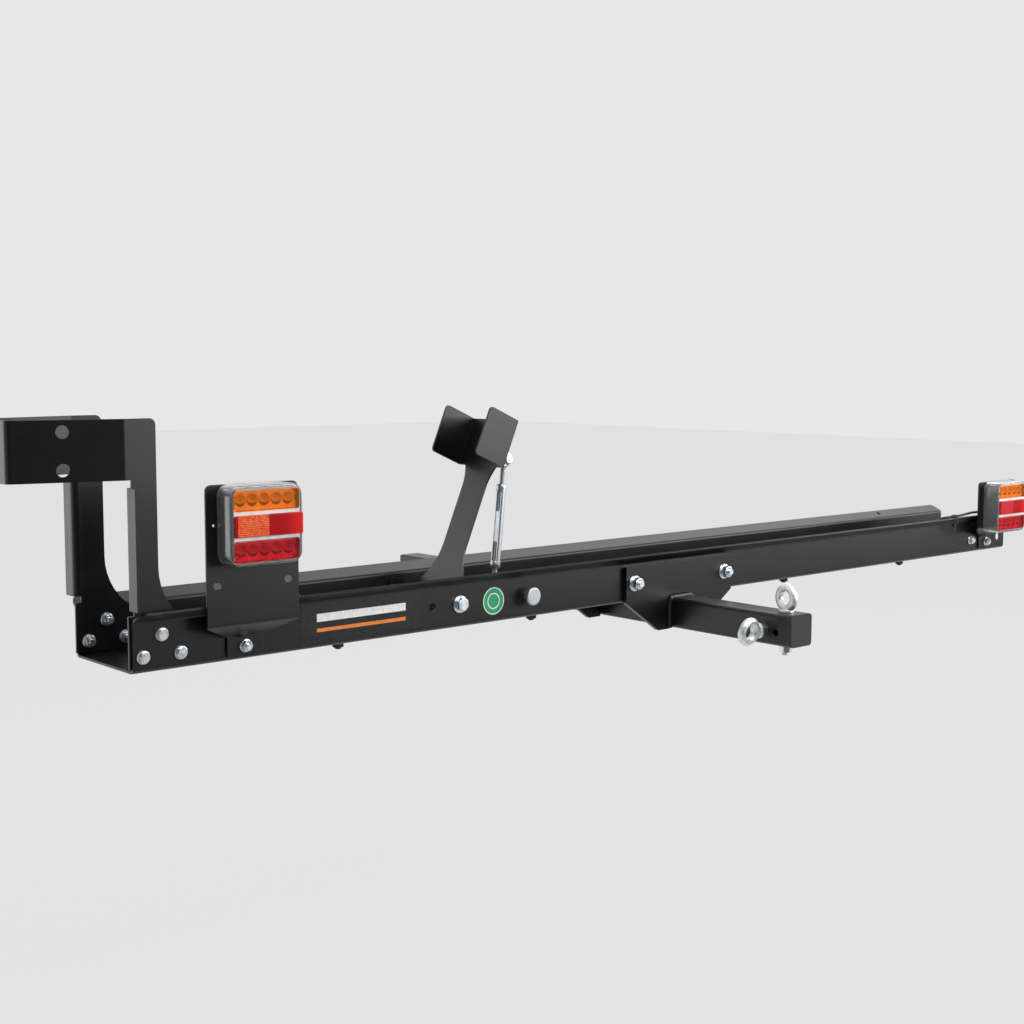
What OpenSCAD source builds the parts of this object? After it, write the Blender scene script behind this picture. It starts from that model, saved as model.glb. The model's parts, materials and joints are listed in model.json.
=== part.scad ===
// Hitch-mounted motorcycle carrier with two lamps, a front wheel chock and an adjustable wheel support
// Millimetres, +Z up. X runs along the wheel channel, +Y towards the vehicle.
// The origin is the centre of the hitch pin bore in the tongue.
// The modules are drawn from the channel's front end at its near lower edge, and carrier_frame moves them.

/* [Wheel channel] */
// Length of the wheel channel
channel_l = 2000; // [1960:10:2100]
// Outer width of the wheel channel
channel_w = 154; // [148:1:160]
// Height of the walls up to the lips
wall_h = 63.5; // [61:0.5:66]
// Thickness of the folded sheets
sheet_t = 3; // [2.5:0.1:3.4]
// Inner radius of the sheet bends
bend_r = 3; // [2:0.5:4]
// Reach of the lips beyond the walls
lip_reach = 20; // [18:0.5:22]
// Rise of the lips above the horizontal, in degrees
lip_rise = 30; // [27:0.5:33]
// Corner radius at the ends of the lips
lip_corner_r = 15; // [8:1:17]
// Diameter of the hole near each end wall's rear edge
end_hole_d = 16; // [12:1:20]
// Distance of that hole from the rear end
end_hole_inset = 23; // [20:1:40]

/* [Hitch tube] */
// Outer width of the square hitch tube
tube_w = 50; // [48:0.5:52]
// Wall of the hitch tube
tube_wall = 5; // [4:0.5:6]
// Outer corner radius of the hitch tube
tube_corner_r = 6; // [5:0.5:8]
// Distance from the channel's front end to the middle of the tube
hitch_x = 987; // [940:1:1040]
// Reach of the tube beyond the near wall
stub_reach = 255; // [245:5:320]
// Reach of the tongue beyond the far wall
tongue_reach = 573; // [500:1:650]
// Distance from the tongue's tip to the hitch pin
pin_inset = 62; // [55:1:90]
// Diameter of the hitch pin bore
pin_bore_d = 16.5; // [16:0.1:17]
// Chamfer at the tongue's tip
tip_chamfer = 3; // [1:0.5:4]
// Thickness of the end cap's face
cap_t = 3; // [2:0.5:5]

/* [Saddle plates] */
// Thickness of the saddle plates
saddle_t = 8; // [6:0.5:10]
// Width of the saddle plates
saddle_w = 256; // [250:2:300]
// Height of the saddle plates above the channel's underside
saddle_rise = 58; // [54:0.5:60]
// Width of the saddle plates at the foot
saddle_foot_w = 104; // [96:1:120]
// Distance of the saddle bolts from the plates' ends
saddle_bolt_inset = 19; // [17:0.5:26]
// Height of the saddle bolts
saddle_bolt_z = 31.5; // [28:0.5:36]
// Leg of the weld beads
weld_leg = 6; // [4:0.5:8]

/* [Wheel chock] */
// Distance that the chock stands in front of the channel
chock_lead = 3; // [0:0.5:5]
// Height of the chock's top edge
chock_top = 315; // [300:1:330]
// Height of the band round the tyre
band_h = 75; // [65:1:80]
// Reach of the band in front of the channel
chock_reach = 135; // [120:1:150]
// Width of the band's front
band_front_w = 85; // [75:1:95]
// Width of the uprights
upright_w = 42; // [38:1:46]
// Length of the chock's feet
foot_l = 90; // [86:1:100]
// Radius of the curve from the upright to its foot
foot_curve_r = 83; // [75:1:90]
// Height at which that curve starts
foot_curve_z = 130; // [125:1:140]
// Depth of the stiffening flange
stiffener_d = 27; // [20:1:30]
// Lower end of the stiffening flange
stiffener_z = 80; // [80:1:95]
// Clear gap between the stiffening flange and the band
stiffener_gap = 9; // [6:1:14]
// Diameter of the strap holes in the band
strap_hole_d = 16; // [12:1:18]
// Distance of the strap holes from the fold
strap_hole_reach = 71.5; // [60:0.5:90]
// Spacing of the strap holes
strap_hole_pitch = 46; // [40:1:48]
// Distance of the first foot bolt from the channel's front end
foot_bolt_x = 14; // [12:0.5:18]
// Spacing of the foot bolts along the channel
foot_bolt_pitch = 26; // [24:0.5:28]
// Height of the lower foot bolts
foot_bolt_z = 20.5; // [18:0.5:22]
// Rise of the middle foot bolt above the others
foot_bolt_rise = 26; // [24:0.5:27]

/* [Wheel support] */
// Distance from the channel's front end to the support's pivot
pivot_x = 521; // [500:1:540]
// Height of the pivot, the spare hole and the clevis pin
pivot_z = 34; // [33.5:0.5:38]
// Distance between the pivot hole and the spare hole
spare_pitch = 51; // [45:1:60]
// Lean of the support at rest, in degrees
arm_tilt = 23.4; // [21:0.1:25]
// Half width of the support's stem
stem_half_w = 26.5; // [22:0.5:30]
// Distance from the pivot to the cradle's lower edge
cradle_s = 218.5; // [210:0.5:225]
// Height of the cradle along the support
cradle_h = 76; // [70:1:85]
// Outer width of the cradle
cradle_w = 106; // [100:1:116]
// Depth of the cradle's flanges
cradle_d = 61; // [50:1:65]
// Distance from the pivot to the support's back face
arm_back = 21; // [20:0.5:22]
// Clearance between the support's ears and the channel's walls
ear_gap = 0.8; // [0.5:0.1:1.2]

/* [Turnbuckle] */
// Distance from the channel's front end to the clevis pin
clevis_x = 651; // [640:1:660]
// Diameter of the clevis pin
clevis_d = 12; // [10:0.5:13]
// Diameter of the clevis pin's head
clevis_head_d = 27; // [22:1:30]
// Length of pin that shows between the wall and its head
clevis_show = 12; // [4:1:16]
// Diameter of the turnbuckle's threaded rods
rod_d = 8; // [7.8:0.1:8.4]
// Outer diameter of the turnbuckle's eyes
eye_d = 28; // [26:1:32]
// Thickness of the turnbuckle's eyes
eye_t = 7; // [6:0.5:7.5]
// Length of the turnbuckle's body
buckle_l = 131; // [120:1:134]
// Distance from the clevis pin to the body
buckle_start = 33; // [32:0.5:36]
// Diameter of the body's collars
collar_d = 16; // [15:0.5:20]
// Distance of the upper eye behind the support's back face
lug_reach = 37.4; // [35:0.1:42]
// Distance of the upper eye from the pivot, along the support
lug_s = 245.4; // [242:0.1:250]

/* [Lamps] */
// Distance from the channel's front end to the middle of the left lamp bracket
left_lamp_x = 158; // [150:1:170]
// Distance from the channel's rear end to the middle of the right lamp bracket
right_lamp_inset = 73; // [70:1:76]
// Width of the lamp brackets
bracket_w = 136; // [130:1:144]
// Height of the left lamp bracket's top edge
left_bracket_top = 231; // [224:1:240]
// Height of the right lamp bracket's top edge
right_bracket_top = 145; // [142:1:160]
// Distance of the lamp brackets' front face from the near wall
bracket_out = 26; // [24.5:0.5:30]
// Height of the lamp brackets' lower fold
bracket_fold_z = 50.5; // [49:0.5:54]
// Width of the tab that is bolted to the wall
tab_w = 54; // [48:1:60]
// Height of the bracket bolts
tab_bolt_z = 18.5; // [16:0.5:20]
// Width of the lamps
lamp_w = 106; // [100:1:108]
// Height of the lamps
lamp_h = 102; // [98:1:104]
// Depth of the lamps
lamp_d = 34; // [30:0.5:38]
// Corner radius of the lamps
lamp_corner_r = 15; // [10:1:18]
// Height of the lamps' windows
window_h = 27; // [24:0.5:28]
// Lamps' light-emitting diodes in a row
led_count = 5; // [4:1:6]

/* [Eyebolts] */
// Distance of the upper eyebolt from the stub's end
top_eye_inset = 27; // [25:0.5:32]
// Distance of the side eyebolt from the stub's end
side_eye_inset = 51; // [50:0.5:60]
// Outer diameter of the eyebolts' rings
ring_d = 45; // [40:1:48]
// Thickness of the eyebolts' rings
ring_t = 10; // [8:0.5:11]
// Thread of the eyebolts
eye_thread_d = 12; // [10:0.5:12]
// Length of the side eyebolt's spacer
eye_spacer_l = 12.5; // [8:0.5:15]

/* [Cable] */
// Diameter of the lamp cable
cable_d = 5; // [4:0.5:5.5]
// Distance of the cable from the near wall's outer face
cable_y = 11; // [11:0.5:12]
// Distance of the clip bolts from the near wall's outer face
clip_bolt_y = 33; // [31:0.5:36]
// Distance of the inner clips from the channel's middle
clip_near = 310; // [300:5:330]
// Distance of the outer clips from the channel's ends
clip_inset = 328; // [320:1:340]

/* [Labels] */
// Width of the side label
label_w = 201; // [150:1:205]
// Height of the side label
label_h = 56; // [40:1:58]
// Diameter of the round label
round_label_d = 42; // [30:1:50]
// Thickness of the labels
label_t = 0.5; // [0.4:0.1:1]

/* [Hidden] */
$fn = 48;

// Flanged hexagon fasteners: thread, across flats, flange diameter, height over the flange
m8 = [8, 13, 18, 8];
m10 = [10, 15, 22, 10];
m12 = [12, 18, 26, 12];
flange_rim = 1.5;
bolt_play = 0.5;
thread_fit = 0.05;
run_fit = 0.08;
tip = 5;
cut = 1;

mid_y = channel_w / 2;
far_y = channel_w;
lip_z = wall_h + lip_reach * tan(lip_rise);
lip_rise_t = sheet_t / cos(lip_rise);
lip_hole_d = 8;
lip_hole_inset = 212;
lip_hole_x = channel_l - lip_hole_inset;
lip_hole_out = 10;
tip_y = far_y + tongue_reach;
stub_y = -stub_reach;
pin_y = tip_y - pin_inset;
tube_z = -tube_w / 2;
saddle_bolt_pitch = saddle_w - 2 * saddle_bolt_inset;

// Wheel chock
band_z = chock_top - band_h;
chock_bend_r = 5;
chock_fold = chock_bend_r + sheet_t;
band_taper = atan2((far_y - 2 * sheet_t - band_front_w) / 2, chock_reach);
stiffener_top = band_z - stiffener_gap;
stiffener_relief = 8;
foot_bolts = [for (i = [0 : 2])
    [foot_bolt_x + i * foot_bolt_pitch, foot_bolt_z + (i == 1 ? foot_bolt_rise : 0)]];
foot_stack = 2 * sheet_t;
floor_clear = sheet_t + bend_r;

// Wheel support, in its own frame: X square to the sheet, Z along it from the pivot
ear_u = mid_y - sheet_t - ear_gap;
ear_r = 20;
ear_front = 22;
stem_start = 92;
flare_r = 80;
shoulder_r = 70;
shoulder_end = cradle_s + 2;
shoulder_start = shoulder_end - 36;
arm_bend = bend_r + sheet_t;
lug_t = 4;
lug_gap = 1;
lug_in = eye_t / 2 + lug_gap;
lug_out = lug_in + lug_t;
lug_x = arm_back + lug_reach;
lug_eye_r = 8;
lug_hole_d = m8[0] + 2 * run_fit;
pivot_hole_d = m12[0] + 2 * run_fit;

// Turnbuckle, along the line from the clevis pin to the lug's bolt
eye_x = pivot_x + lug_x * cos(arm_tilt) + lug_s * sin(arm_tilt);
eye_z = pivot_z - lug_x * sin(arm_tilt) + lug_s * cos(arm_tilt);
buckle_tilt = atan2(eye_x - clevis_x, eye_z - pivot_z);
buckle_span = norm([eye_x - clevis_x, eye_z - pivot_z]);
collar_l = 12;
bar_w = 8;
bar_t = 3.5;
rod_in = 75;
rod_out = 81;
lower_eye_hole_d = clevis_d + 0.6;
upper_eye_hole_d = m8[0] + 5.4;
clevis_tip = 14;
clevis_head_t = 6;
ball_d = 6;
ball_proud = run_fit / 2;

// Lamps and brackets
left_lamp = [left_lamp_x, left_bracket_top - lamp_h / 2];
right_lamp = [channel_l - right_lamp_inset, right_bracket_top - lamp_h / 2];
lamps = [left_lamp, right_lamp];
bracket_corner_r = 8;
tab_bottom = 4;
tab_top = bracket_fold_z - 19.5;
slot_l = 13;
slot_d = 8;
slot_out = 52.5;
slot_z = 103.5;
peg_hole_d = 4;
peg_hole_out = 57;
rear_bolt_x = channel_l - 127;
rear_bolt_z = 25;
lens_t = 2.4;
lens_fit = 0.2;
lens_back = 9;
base_wall = 2.5;
base_d = 20;
board_t = 1.6;
board_back = 9;
board_fit = 0.4;
window_t = 3;
window_inset = 5;
window_pitch = window_h + 5;
led_d = 9;
led_pitch = 17.5;
screw_d = 5;
screw_out = 34;
exit_drop = 13;
grommet_d = 12;

// Eyebolts
ring_r = (ring_d - ring_t) / 2;
eye_collar_d = 25;
eye_collar_t = 5;
top_eye_y = stub_y + top_eye_inset;
side_eye_y = stub_y + side_eye_inset;
side_eye_z = tube_z - 2;
spare_eye_hole_d = 11;
spare_eye_hole_z = tube_z - 4;

// Lamp cable and its clips
clip_t = 1.2;
clip_w = 12;
cable_z = sheet_t + clip_t + cable_d / 2;
clip_xs = [clip_inset, channel_l / 2 - clip_near, channel_l / 2 + clip_near, channel_l - clip_inset];
clip_grip = 11;
inner_clip_grip = 20;
tie_x = lip_hole_x;
tie_w = 4;
cable_bow = -15;

// Cable's bends, each as [distance along the channel from the lamp or the tie, Y, Z]
function lamp_exit(lamp) = [[0, -bracket_out, lamp[1] - exit_drop], [0, -20.5, lamp[1] - exit_drop]];
right_turn = [[-1, -16, 81], [-5, -11.5, 81], [-12, -9, 81.2], [-22, -8.5, 81.6], [-38, -10, 82.4],
              [-57, -13, 83.4], [-78, -15, 83.6], [-102, -16, 82]];
over_lip = [[15, cable_bow, 80], [0, cable_bow, 79.6], [-15, -12, 79], [-30, -4, 76.5], [-41, 4, 70],
            [-49, 9, 58], [-57, cable_y, 42], [-66, cable_y, 25], [-79, cable_y, 12], [-94, cable_y, cable_z]];
left_climb = [[130, cable_y, 12], [117, cable_y, 25], [108, cable_y, 42], [100, 9, 58], [91, 4, 70],
              [79, -4, 76.5], [64, -11, 82], [47, -12, 95], [30, -11, 114], [15, -10.5, 136],
              [4, -10.5, 154], [1, -12.5, 162], [0, -16.5, 166.5]];
floor_stops = [clip_xs[3] + clip_grip, clip_xs[3] - clip_grip, clip_xs[2] + inner_clip_grip,
               clip_xs[2] - inner_clip_grip, channel_l / 2, clip_xs[1] + inner_clip_grip,
               clip_xs[1] - inner_clip_grip, clip_xs[0] + clip_grip, clip_xs[0] - clip_grip,
               clip_xs[0] - 2 * clip_grip];
function reversed(v) = [for (i = [len(v) - 1 : -1 : 0]) v[i]];
function shifted(v, x) = [for (q = v) [q[0] + x, q[1], q[2]]];
cable_route = concat(
    shifted(lamp_exit(right_lamp), right_lamp[0]), shifted(right_turn, right_lamp[0]), shifted(over_lip, tie_x),
    [for (x = floor_stops) [x, cable_y, cable_z]],
    shifted(left_climb, left_lamp_x), shifted(reversed(lamp_exit(left_lamp)), left_lamp_x));

// Labels
label_x = 346;
label_z = 33.5;
round_label_x = 585;
round_label_z = 32;

black = "#2a2b2d";
zinc = "#c3ccd4";
galvanised = "#9aa3ab";
plastic = "#1d1e20";
clear = "#d9dde0";

// Vector of length one
function unit(v) = v / norm(v);

// Points of the arc of radius r that rounds the corner b between a and c
function corner_points(a, b, c, r, n) =
    r <= 0 ? [b] :
    let (u = unit(a - b), v = unit(c - b), half = acos(u * v) / 2,
         centre = b + unit(u + v) * r / sin(half),
         from = b + u * r / tan(half) - centre, to = b + v * r / tan(half) - centre,
         start = atan2(from[1], from[0]), turn = atan2(cross(from, to), from * to))
    [for (i = [0 : n]) centre + r * [cos(start + turn * i / n), sin(start + turn * i / n)]];

// Outline through corners that are given as [x, y, radius]
function rounded(corners, n = 5) =
    let (k = len(corners), flat = [for (c = corners) [c[0], c[1]]])
    [for (i = [0 : k - 1])
        each corner_points(flat[(i + k - 1) % k], flat[i], flat[(i + 1) % k], corners[i][2], n)];

// Points of an arc about a centre
function arc(centre, r, from, to, n = 8) =
    [for (i = [0 : n]) let (a = from + (to - from) * i / n) centre + r * [cos(a), sin(a)]];

// Section of a folded sheet: its outer face follows the path, and its thickness lies to the left
function left_normal(a, b) = let (d = unit(b - a)) [-d[1], d[0]];
function left_point(path, i, t) =
    let (last = len(path) - 1,
         before = i > 0 ? left_normal(path[i - 1], path[i]) : left_normal(path[0], path[1]),
         after = i < last ? left_normal(path[i], path[i + 1]) : before)
    path[i] + t * (before + after) / (1 + before * after);
function turns_left(path, i) = cross(path[i] - path[i - 1], path[i + 1] - path[i]) > 0;
function fold_radius(path, i, r) = i == 0 || i == len(path) - 1 ? 0 : r;
function folded(path, t, r) =
    let (last = len(path) - 1,
         outer = [for (i = [0 : last]) [path[i][0], path[i][1],
             fold_radius(path, i, i > 0 && i < last && turns_left(path, i) ? r + t : r)]],
         inner = [for (i = [last : -1 : 0]) let (q = left_point(path, i, t)) [q[0], q[1],
             fold_radius(path, i, i > 0 && i < last && turns_left(path, i) ? r : r + t)]])
    rounded(concat(outer, inner));

// Smooth route through hand-placed points: two steps in each span that bends, one in a straight span
function bends(p, i) =
    let (a = p[max(i - 1, 0)], b = p[i], c = p[i + 1], d = p[min(i + 2, len(p) - 1)])
    norm(cross(unit(c - b), a == b ? [0, 0, 0] : unit(b - a)))
    + norm(cross(unit(c - b), c == d ? [0, 0, 0] : unit(d - c))) > 0.05;
function smooth_point(p, i, t) =
    let (a = p[max(i - 1, 0)], b = p[i], c = p[i + 1], d = p[min(i + 2, len(p) - 1)],
         reach = norm(c - b), before = a == b ? c - b : unit(unit(b - a) + unit(c - b)) * reach,
         after = c == d ? c - b : unit(unit(c - b) + unit(d - c)) * reach)
    (2 * t ^ 3 - 3 * t ^ 2 + 1) * b + (t ^ 3 - 2 * t ^ 2 + t) * before
    + (3 * t ^ 2 - 2 * t ^ 3) * c + (t ^ 3 - t ^ 2) * after;
function smooth_route(p) = concat(
    [for (i = [0 : len(p) - 2]) each bends(p, i) ? [smooth_point(p, i, 0), smooth_point(p, i, 0.5)] : [p[i]]],
    [p[len(p) - 1]]);

// A frame that is carried along the route without twisting
function direction(p, i) = unit(p[min(i + 1, len(p) - 1)] - p[max(i - 1, 0)]);
function carried(v, d) = unit(v - (v * d) * d);
function side_vectors(p) = [for (i = 0, v = carried([1, 0, 0], direction(p, 0)); i < len(p);
    i = i + 1, v = carried(v, direction(p, min(i, len(p) - 1)))) v];

// Tube swept along a route as one closed solid
module swept_tube(route, d, sides) {
    p = smooth_route(route);
    side = side_vectors(p);
    rings = [for (i = [0 : len(p) - 1]) let (w = cross(direction(p, i), side[i]))
        each [for (k = [0 : sides - 1]) p[i] + d / 2 * (cos(360 * k / sides) * side[i] + sin(360 * k / sides) * w)]];
    walls = [for (i = [0 : len(p) - 2], k = [0 : sides - 1]) let (n = (k + 1) % sides)
        each [[i * sides + k, (i + 1) * sides + n, i * sides + n],
              [i * sides + k, (i + 1) * sides + k, (i + 1) * sides + n]]];
    last = (len(p) - 1) * sides;
    ends = [[for (k = [0 : sides - 1]) k], [for (k = [sides - 1 : -1 : 0]) last + k]];
    polyhedron(rings, concat(walls, ends));
}

// Moves the channel's own frame to the part's frame
module carrier_frame() translate([-hitch_x, -pin_y, -tube_z]) children();

// Draws a thing on the near wall and its mirror image on the far wall
module on_both_walls() {
    children();
    translate([0, channel_w, 0]) mirror([0, 1, 0]) children();
}

// Extrudes an outline drawn in X and Z, from Y = 0 towards +Y
module along_y(l) translate([0, l, 0]) rotate([90, 0, 0]) linear_extrude(l) children();

// Extrudes a section drawn in Y and Z, from X = 0 towards +X
module along_x(l) rotate([90, 0, 90]) linear_extrude(l) children();

// Turns a thing that stands on +Z so that it points along +Y or -Y
module towards_far() rotate([-90, 0, 0]) children();
module towards_near() rotate([90, 0, 0]) children();

// Round hole along Y
module hole_y(x, y, z, d, l) translate([x, y, z]) towards_far() cylinder(d = d, h = l);

// Flanged hexagon on Z = 0, with a chamfered top
module flanged_hexagon(m) {
    cylinder(d = m[2], h = flange_rim);
    translate([0, 0, flange_rim]) cylinder(d1 = m[2] - 1, d2 = m[1] + 1, h = flange_rim);
    intersection() {
        cylinder(d = m[1] / cos(30), h = m[3], $fn = 6);
        cylinder(d1 = m[1] / cos(30) + 2 * m[3], d2 = m[1] - 0.5, h = m[3]);
    }
}

// Bolt with its head on Z = 0 and its shank reaching down
module flange_bolt(m, length) {
    flanged_hexagon(m);
    translate([0, 0, -length]) cylinder(d = m[0], h = length);
}

// Nut standing on Z = 0
module flange_nut(m) difference() {
    flanged_hexagon(m);
    translate([0, 0, -cut]) cylinder(d = m[0] + 2 * thread_fit, h = m[3] + 2 * cut);
}

// Rounded rectangle about its centre
module rounded_rect(w, h, r) polygon(rounded([
    [-w / 2, -h / 2, r], [w / 2, -h / 2, r], [w / 2, h / 2, r], [-w / 2, h / 2, r]], 6));

module slot(l, d) union() {
    square([l - d, d], center = true);
    for (side = [-1, 1]) translate([side * (l - d) / 2, 0]) circle(d = d);
}

// Wheel channel
module channel_section() polygon(folded([
    [-lip_reach, lip_z], [0, wall_h], [0, 0], [far_y, 0], [far_y, wall_h], [far_y + lip_reach, lip_z]],
    sheet_t, bend_r));

module lip_corner_cut(x, turn) translate([x, -lip_reach, wall_h]) rotate([0, 0, turn])
    linear_extrude(lip_z) difference() {
        translate([-cut, -cut]) square(lip_corner_r + cut);
        translate([lip_corner_r, lip_corner_r]) circle(r = lip_corner_r);
    }

module track_channel() color(black) carrier_frame() difference() {
    along_x(channel_l) channel_section();
    on_both_walls() {
        lip_corner_cut(0, 0);
        mirror([1, 0, 0]) lip_corner_cut(-channel_l, 0);
        translate([lip_hole_x, -lip_hole_out, wall_h]) cylinder(d = lip_hole_d, h = lip_z);
    }
    for (b = foot_bolts) hole_y(b[0], -cut, b[1], m8[0] + bolt_play, channel_w + 2 * cut);
    for (x = [pivot_x, pivot_x - spare_pitch])
        hole_y(x, -cut, pivot_z, m12[0] + bolt_play, channel_w + 2 * cut);
    hole_y(clevis_x, -cut, pivot_z, clevis_d + 2 * run_fit, channel_w + 2 * cut);
    for (side = [-1, 1])
        hole_y(hitch_x + side * saddle_bolt_pitch / 2, -cut, saddle_bolt_z, m12[0] + bolt_play, channel_w + 2 * cut);
    for (lamp = lamps) hole_y(lamp[0], -cut, tab_bolt_z, m8[0] + bolt_play, sheet_t + 2 * cut);
    hole_y(rear_bolt_x, -cut, rear_bolt_z, m8[0] + bolt_play, sheet_t + 2 * cut);
    hole_y(channel_l - end_hole_inset, -cut, rear_bolt_z, end_hole_d, channel_w + 2 * cut);
    for (x = clip_xs) translate([x, clip_bolt_y, -cut]) cylinder(d = m10[0] + bolt_play, h = sheet_t + 2 * cut);
}

// Wheel chock, folded from one sheet
module upright_outline() polygon(concat(
    [[0, floor_clear], [foot_l, floor_clear]],
    arc([upright_w + foot_curve_r, foot_curve_z], foot_curve_r,
        180 + acos((upright_w + foot_curve_r - foot_l) / foot_curve_r), 180),
    [[upright_w, band_z + cut], [chock_fold, band_z + cut], [chock_fold, stiffener_z - stiffener_relief],
     [0, stiffener_z - stiffener_relief]]));

module upright() {
    translate([0, sheet_t, 0]) along_y(sheet_t) upright_outline();
    translate([0, 0, stiffener_z]) linear_extrude(stiffener_top - stiffener_z) polygon(folded([
        [chock_fold + cut, 2 * sheet_t], [0, 2 * sheet_t], [0, sheet_t - stiffener_d + sheet_t]],
        sheet_t, chock_bend_r));
}

module band() intersection() {
    translate([0, 0, band_z]) linear_extrude(band_h) polygon(folded([
        [upright_w, far_y - sheet_t], [0, far_y - sheet_t],
        [-chock_reach, mid_y + band_front_w / 2], [-chock_reach, mid_y - band_front_w / 2],
        [0, sheet_t], [upright_w, sheet_t]],
        sheet_t, chock_bend_r));
    along_y(channel_w) polygon(rounded([
        [-chock_reach - cut, band_z, 0], [upright_w, band_z, 0],
        [upright_w, chock_top, chock_bend_r + sheet_t], [-chock_reach - cut, chock_top, 0]]));
}

module wheel_chock() color(black) carrier_frame() difference() {
    translate([-chock_lead, 0, 0]) {
        band();
        on_both_walls() upright();
    }
    for (b = foot_bolts) hole_y(b[0], 0, b[1], m8[0] + bolt_play, channel_w);
    on_both_walls() for (side = [-1, 1])
        translate([-chock_lead - strap_hole_reach, sheet_t + strap_hole_reach * tan(band_taper),
                   band_z + band_h / 2 + side * strap_hole_pitch / 2])
            rotate([0, 0, -band_taper]) rotate([90, 0, 0])
                cylinder(d = strap_hole_d, h = 4 * sheet_t, center = true);
}

module chock_bolts() color(zinc) carrier_frame() on_both_walls()
    for (b = foot_bolts) translate([b[0], 0, b[1]]) towards_near() flange_bolt(m8, foot_stack + m8[3] + tip / 2);

module chock_nuts() color(zinc) carrier_frame() on_both_walls()
    for (b = foot_bolts) translate([b[0], foot_stack, b[1]]) towards_far() flange_nut(m8);

// Hitch tube and its saddle
module tip_bevels() translate([0, tip_y, tube_z]) for (turn = [0 : 90 : 270]) rotate([0, turn, 0])
    translate([0, 0, tube_w / 2]) rotate([45, 0, 0])
        cube([tube_w + 2 * cut, tip_chamfer * sqrt(2), tip_chamfer * sqrt(2)], center = true);

module hitch_tube() color(black) carrier_frame() difference() {
    translate([hitch_x, stub_y, tube_z]) along_y(stub_reach + tip_y) difference() {
        rounded_rect(tube_w, tube_w, tube_corner_r);
        rounded_rect(tube_w - 2 * tube_wall, tube_w - 2 * tube_wall, max(tube_corner_r - tube_wall, 1));
    }
    translate([hitch_x, 0, 0]) tip_bevels();
    translate([hitch_x - tube_w / 2 - cut, pin_y, tube_z]) rotate([0, 90, 0])
        cylinder(d = pin_bore_d, h = tube_w + 2 * cut);
    translate([hitch_x, top_eye_y, -tube_w - cut]) cylinder(d = eye_thread_d + bolt_play, h = tube_w + 2 * cut);
    translate([hitch_x - tube_w / 2 - cut, side_eye_y, side_eye_z]) rotate([0, 90, 0])
        cylinder(d = eye_thread_d + bolt_play, h = tube_w + 2 * cut);
    translate([hitch_x - tube_w / 2 - cut, top_eye_y, spare_eye_hole_z]) rotate([0, 90, 0])
        cylinder(d = spare_eye_hole_d, h = tube_wall + 2 * cut);
}

module tube_end_cap() color(plastic) carrier_frame() translate([hitch_x, stub_y - cap_t, tube_z]) {
    along_y(cap_t) rounded_rect(tube_w, tube_w, tube_corner_r);
    translate([0, cap_t, 0]) along_y(4 * cap_t) difference() {
        rounded_rect(tube_w - 2 * tube_wall, tube_w - 2 * tube_wall, max(tube_corner_r - tube_wall, 1));
        rounded_rect(tube_w - 2 * tube_wall - 2 * cap_t, tube_w - 2 * tube_wall - 2 * cap_t, 1);
    }
}

module saddle_outline() difference() {
    polygon(rounded([
        [-saddle_w / 2, 0, 0], [-saddle_foot_w / 2, -tube_w - 2, 0], [saddle_foot_w / 2, -tube_w - 2, 0],
        [saddle_w / 2, 0, 0], [saddle_w / 2, saddle_rise, 3], [-saddle_w / 2, saddle_rise, 3]]));
    translate([0, tube_z - cut]) square([tube_w, tube_w + 2 * cut + 4], center = true);
    for (side = [-1, 1]) translate([side * saddle_bolt_pitch / 2, saddle_bolt_z]) circle(d = m12[0] + bolt_play);
}

module saddle_plate() translate([hitch_x, -saddle_t, 0]) along_y(saddle_t) saddle_outline();

module saddle_plate_near() color(black) carrier_frame() saddle_plate();

module saddle_plate_far() color(black) carrier_frame()
    translate([0, channel_w, 0]) mirror([0, 1, 0]) saddle_plate();

// Fillet welds round the tube's sides and top, in three steps of falling height
module saddle_welds() color(black) carrier_frame() on_both_walls() translate([hitch_x, -saddle_t, 0])
    for (step = [0 : 2]) translate([0, -(step + 1) * weld_leg / 3, 0]) along_y(weld_leg / 3) difference() {
        translate([0, tube_z + (3 - step) * weld_leg / 6])
            rounded_rect(tube_w + 2 * (3 - step) * weld_leg / 3, tube_w + (3 - step) * weld_leg / 3, tube_corner_r);
        translate([0, tube_z - cut]) rounded_rect(tube_w, tube_w + 2 * cut, 0);
    }

module saddle_bolts() color(zinc) carrier_frame() on_both_walls() for (side = [-1, 1])
    translate([hitch_x + side * saddle_bolt_pitch / 2, sheet_t, saddle_bolt_z]) towards_far()
        flange_bolt(m12, sheet_t + saddle_t + m12[3] + tip);

module saddle_nuts() color(zinc) carrier_frame() on_both_walls() for (side = [-1, 1])
    translate([hitch_x + side * saddle_bolt_pitch / 2, -saddle_t, saddle_bolt_z]) towards_near() flange_nut(m12);

// Wheel support, in its own frame at the pivot
module arm_frame() translate([pivot_x, mid_y, pivot_z]) rotate([0, arm_tilt, 0]) children();

// U-shaped stretch of the support between two heights, with flanges that reach forward
module arm_trough(half_w, depth, from, to) translate([0, 0, from]) linear_extrude(to - from) polygon(folded([
    [arm_back - depth, half_w], [arm_back, half_w], [arm_back, -half_w], [arm_back - depth, -half_w]],
    -sheet_t, bend_r));

module ears() intersection() {
    arm_trough(ear_u, arm_back + ear_front, -ear_r, ear_r);
    translate([0, -mid_y, 0]) along_y(channel_w) polygon(rounded([
        [-ear_front, -ear_r, 17], [8, -ear_r, 6], [arm_back + cut, -14, 0],
        [arm_back + cut, ear_r, 0], [-ear_front, ear_r, 8]]));
}

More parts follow.
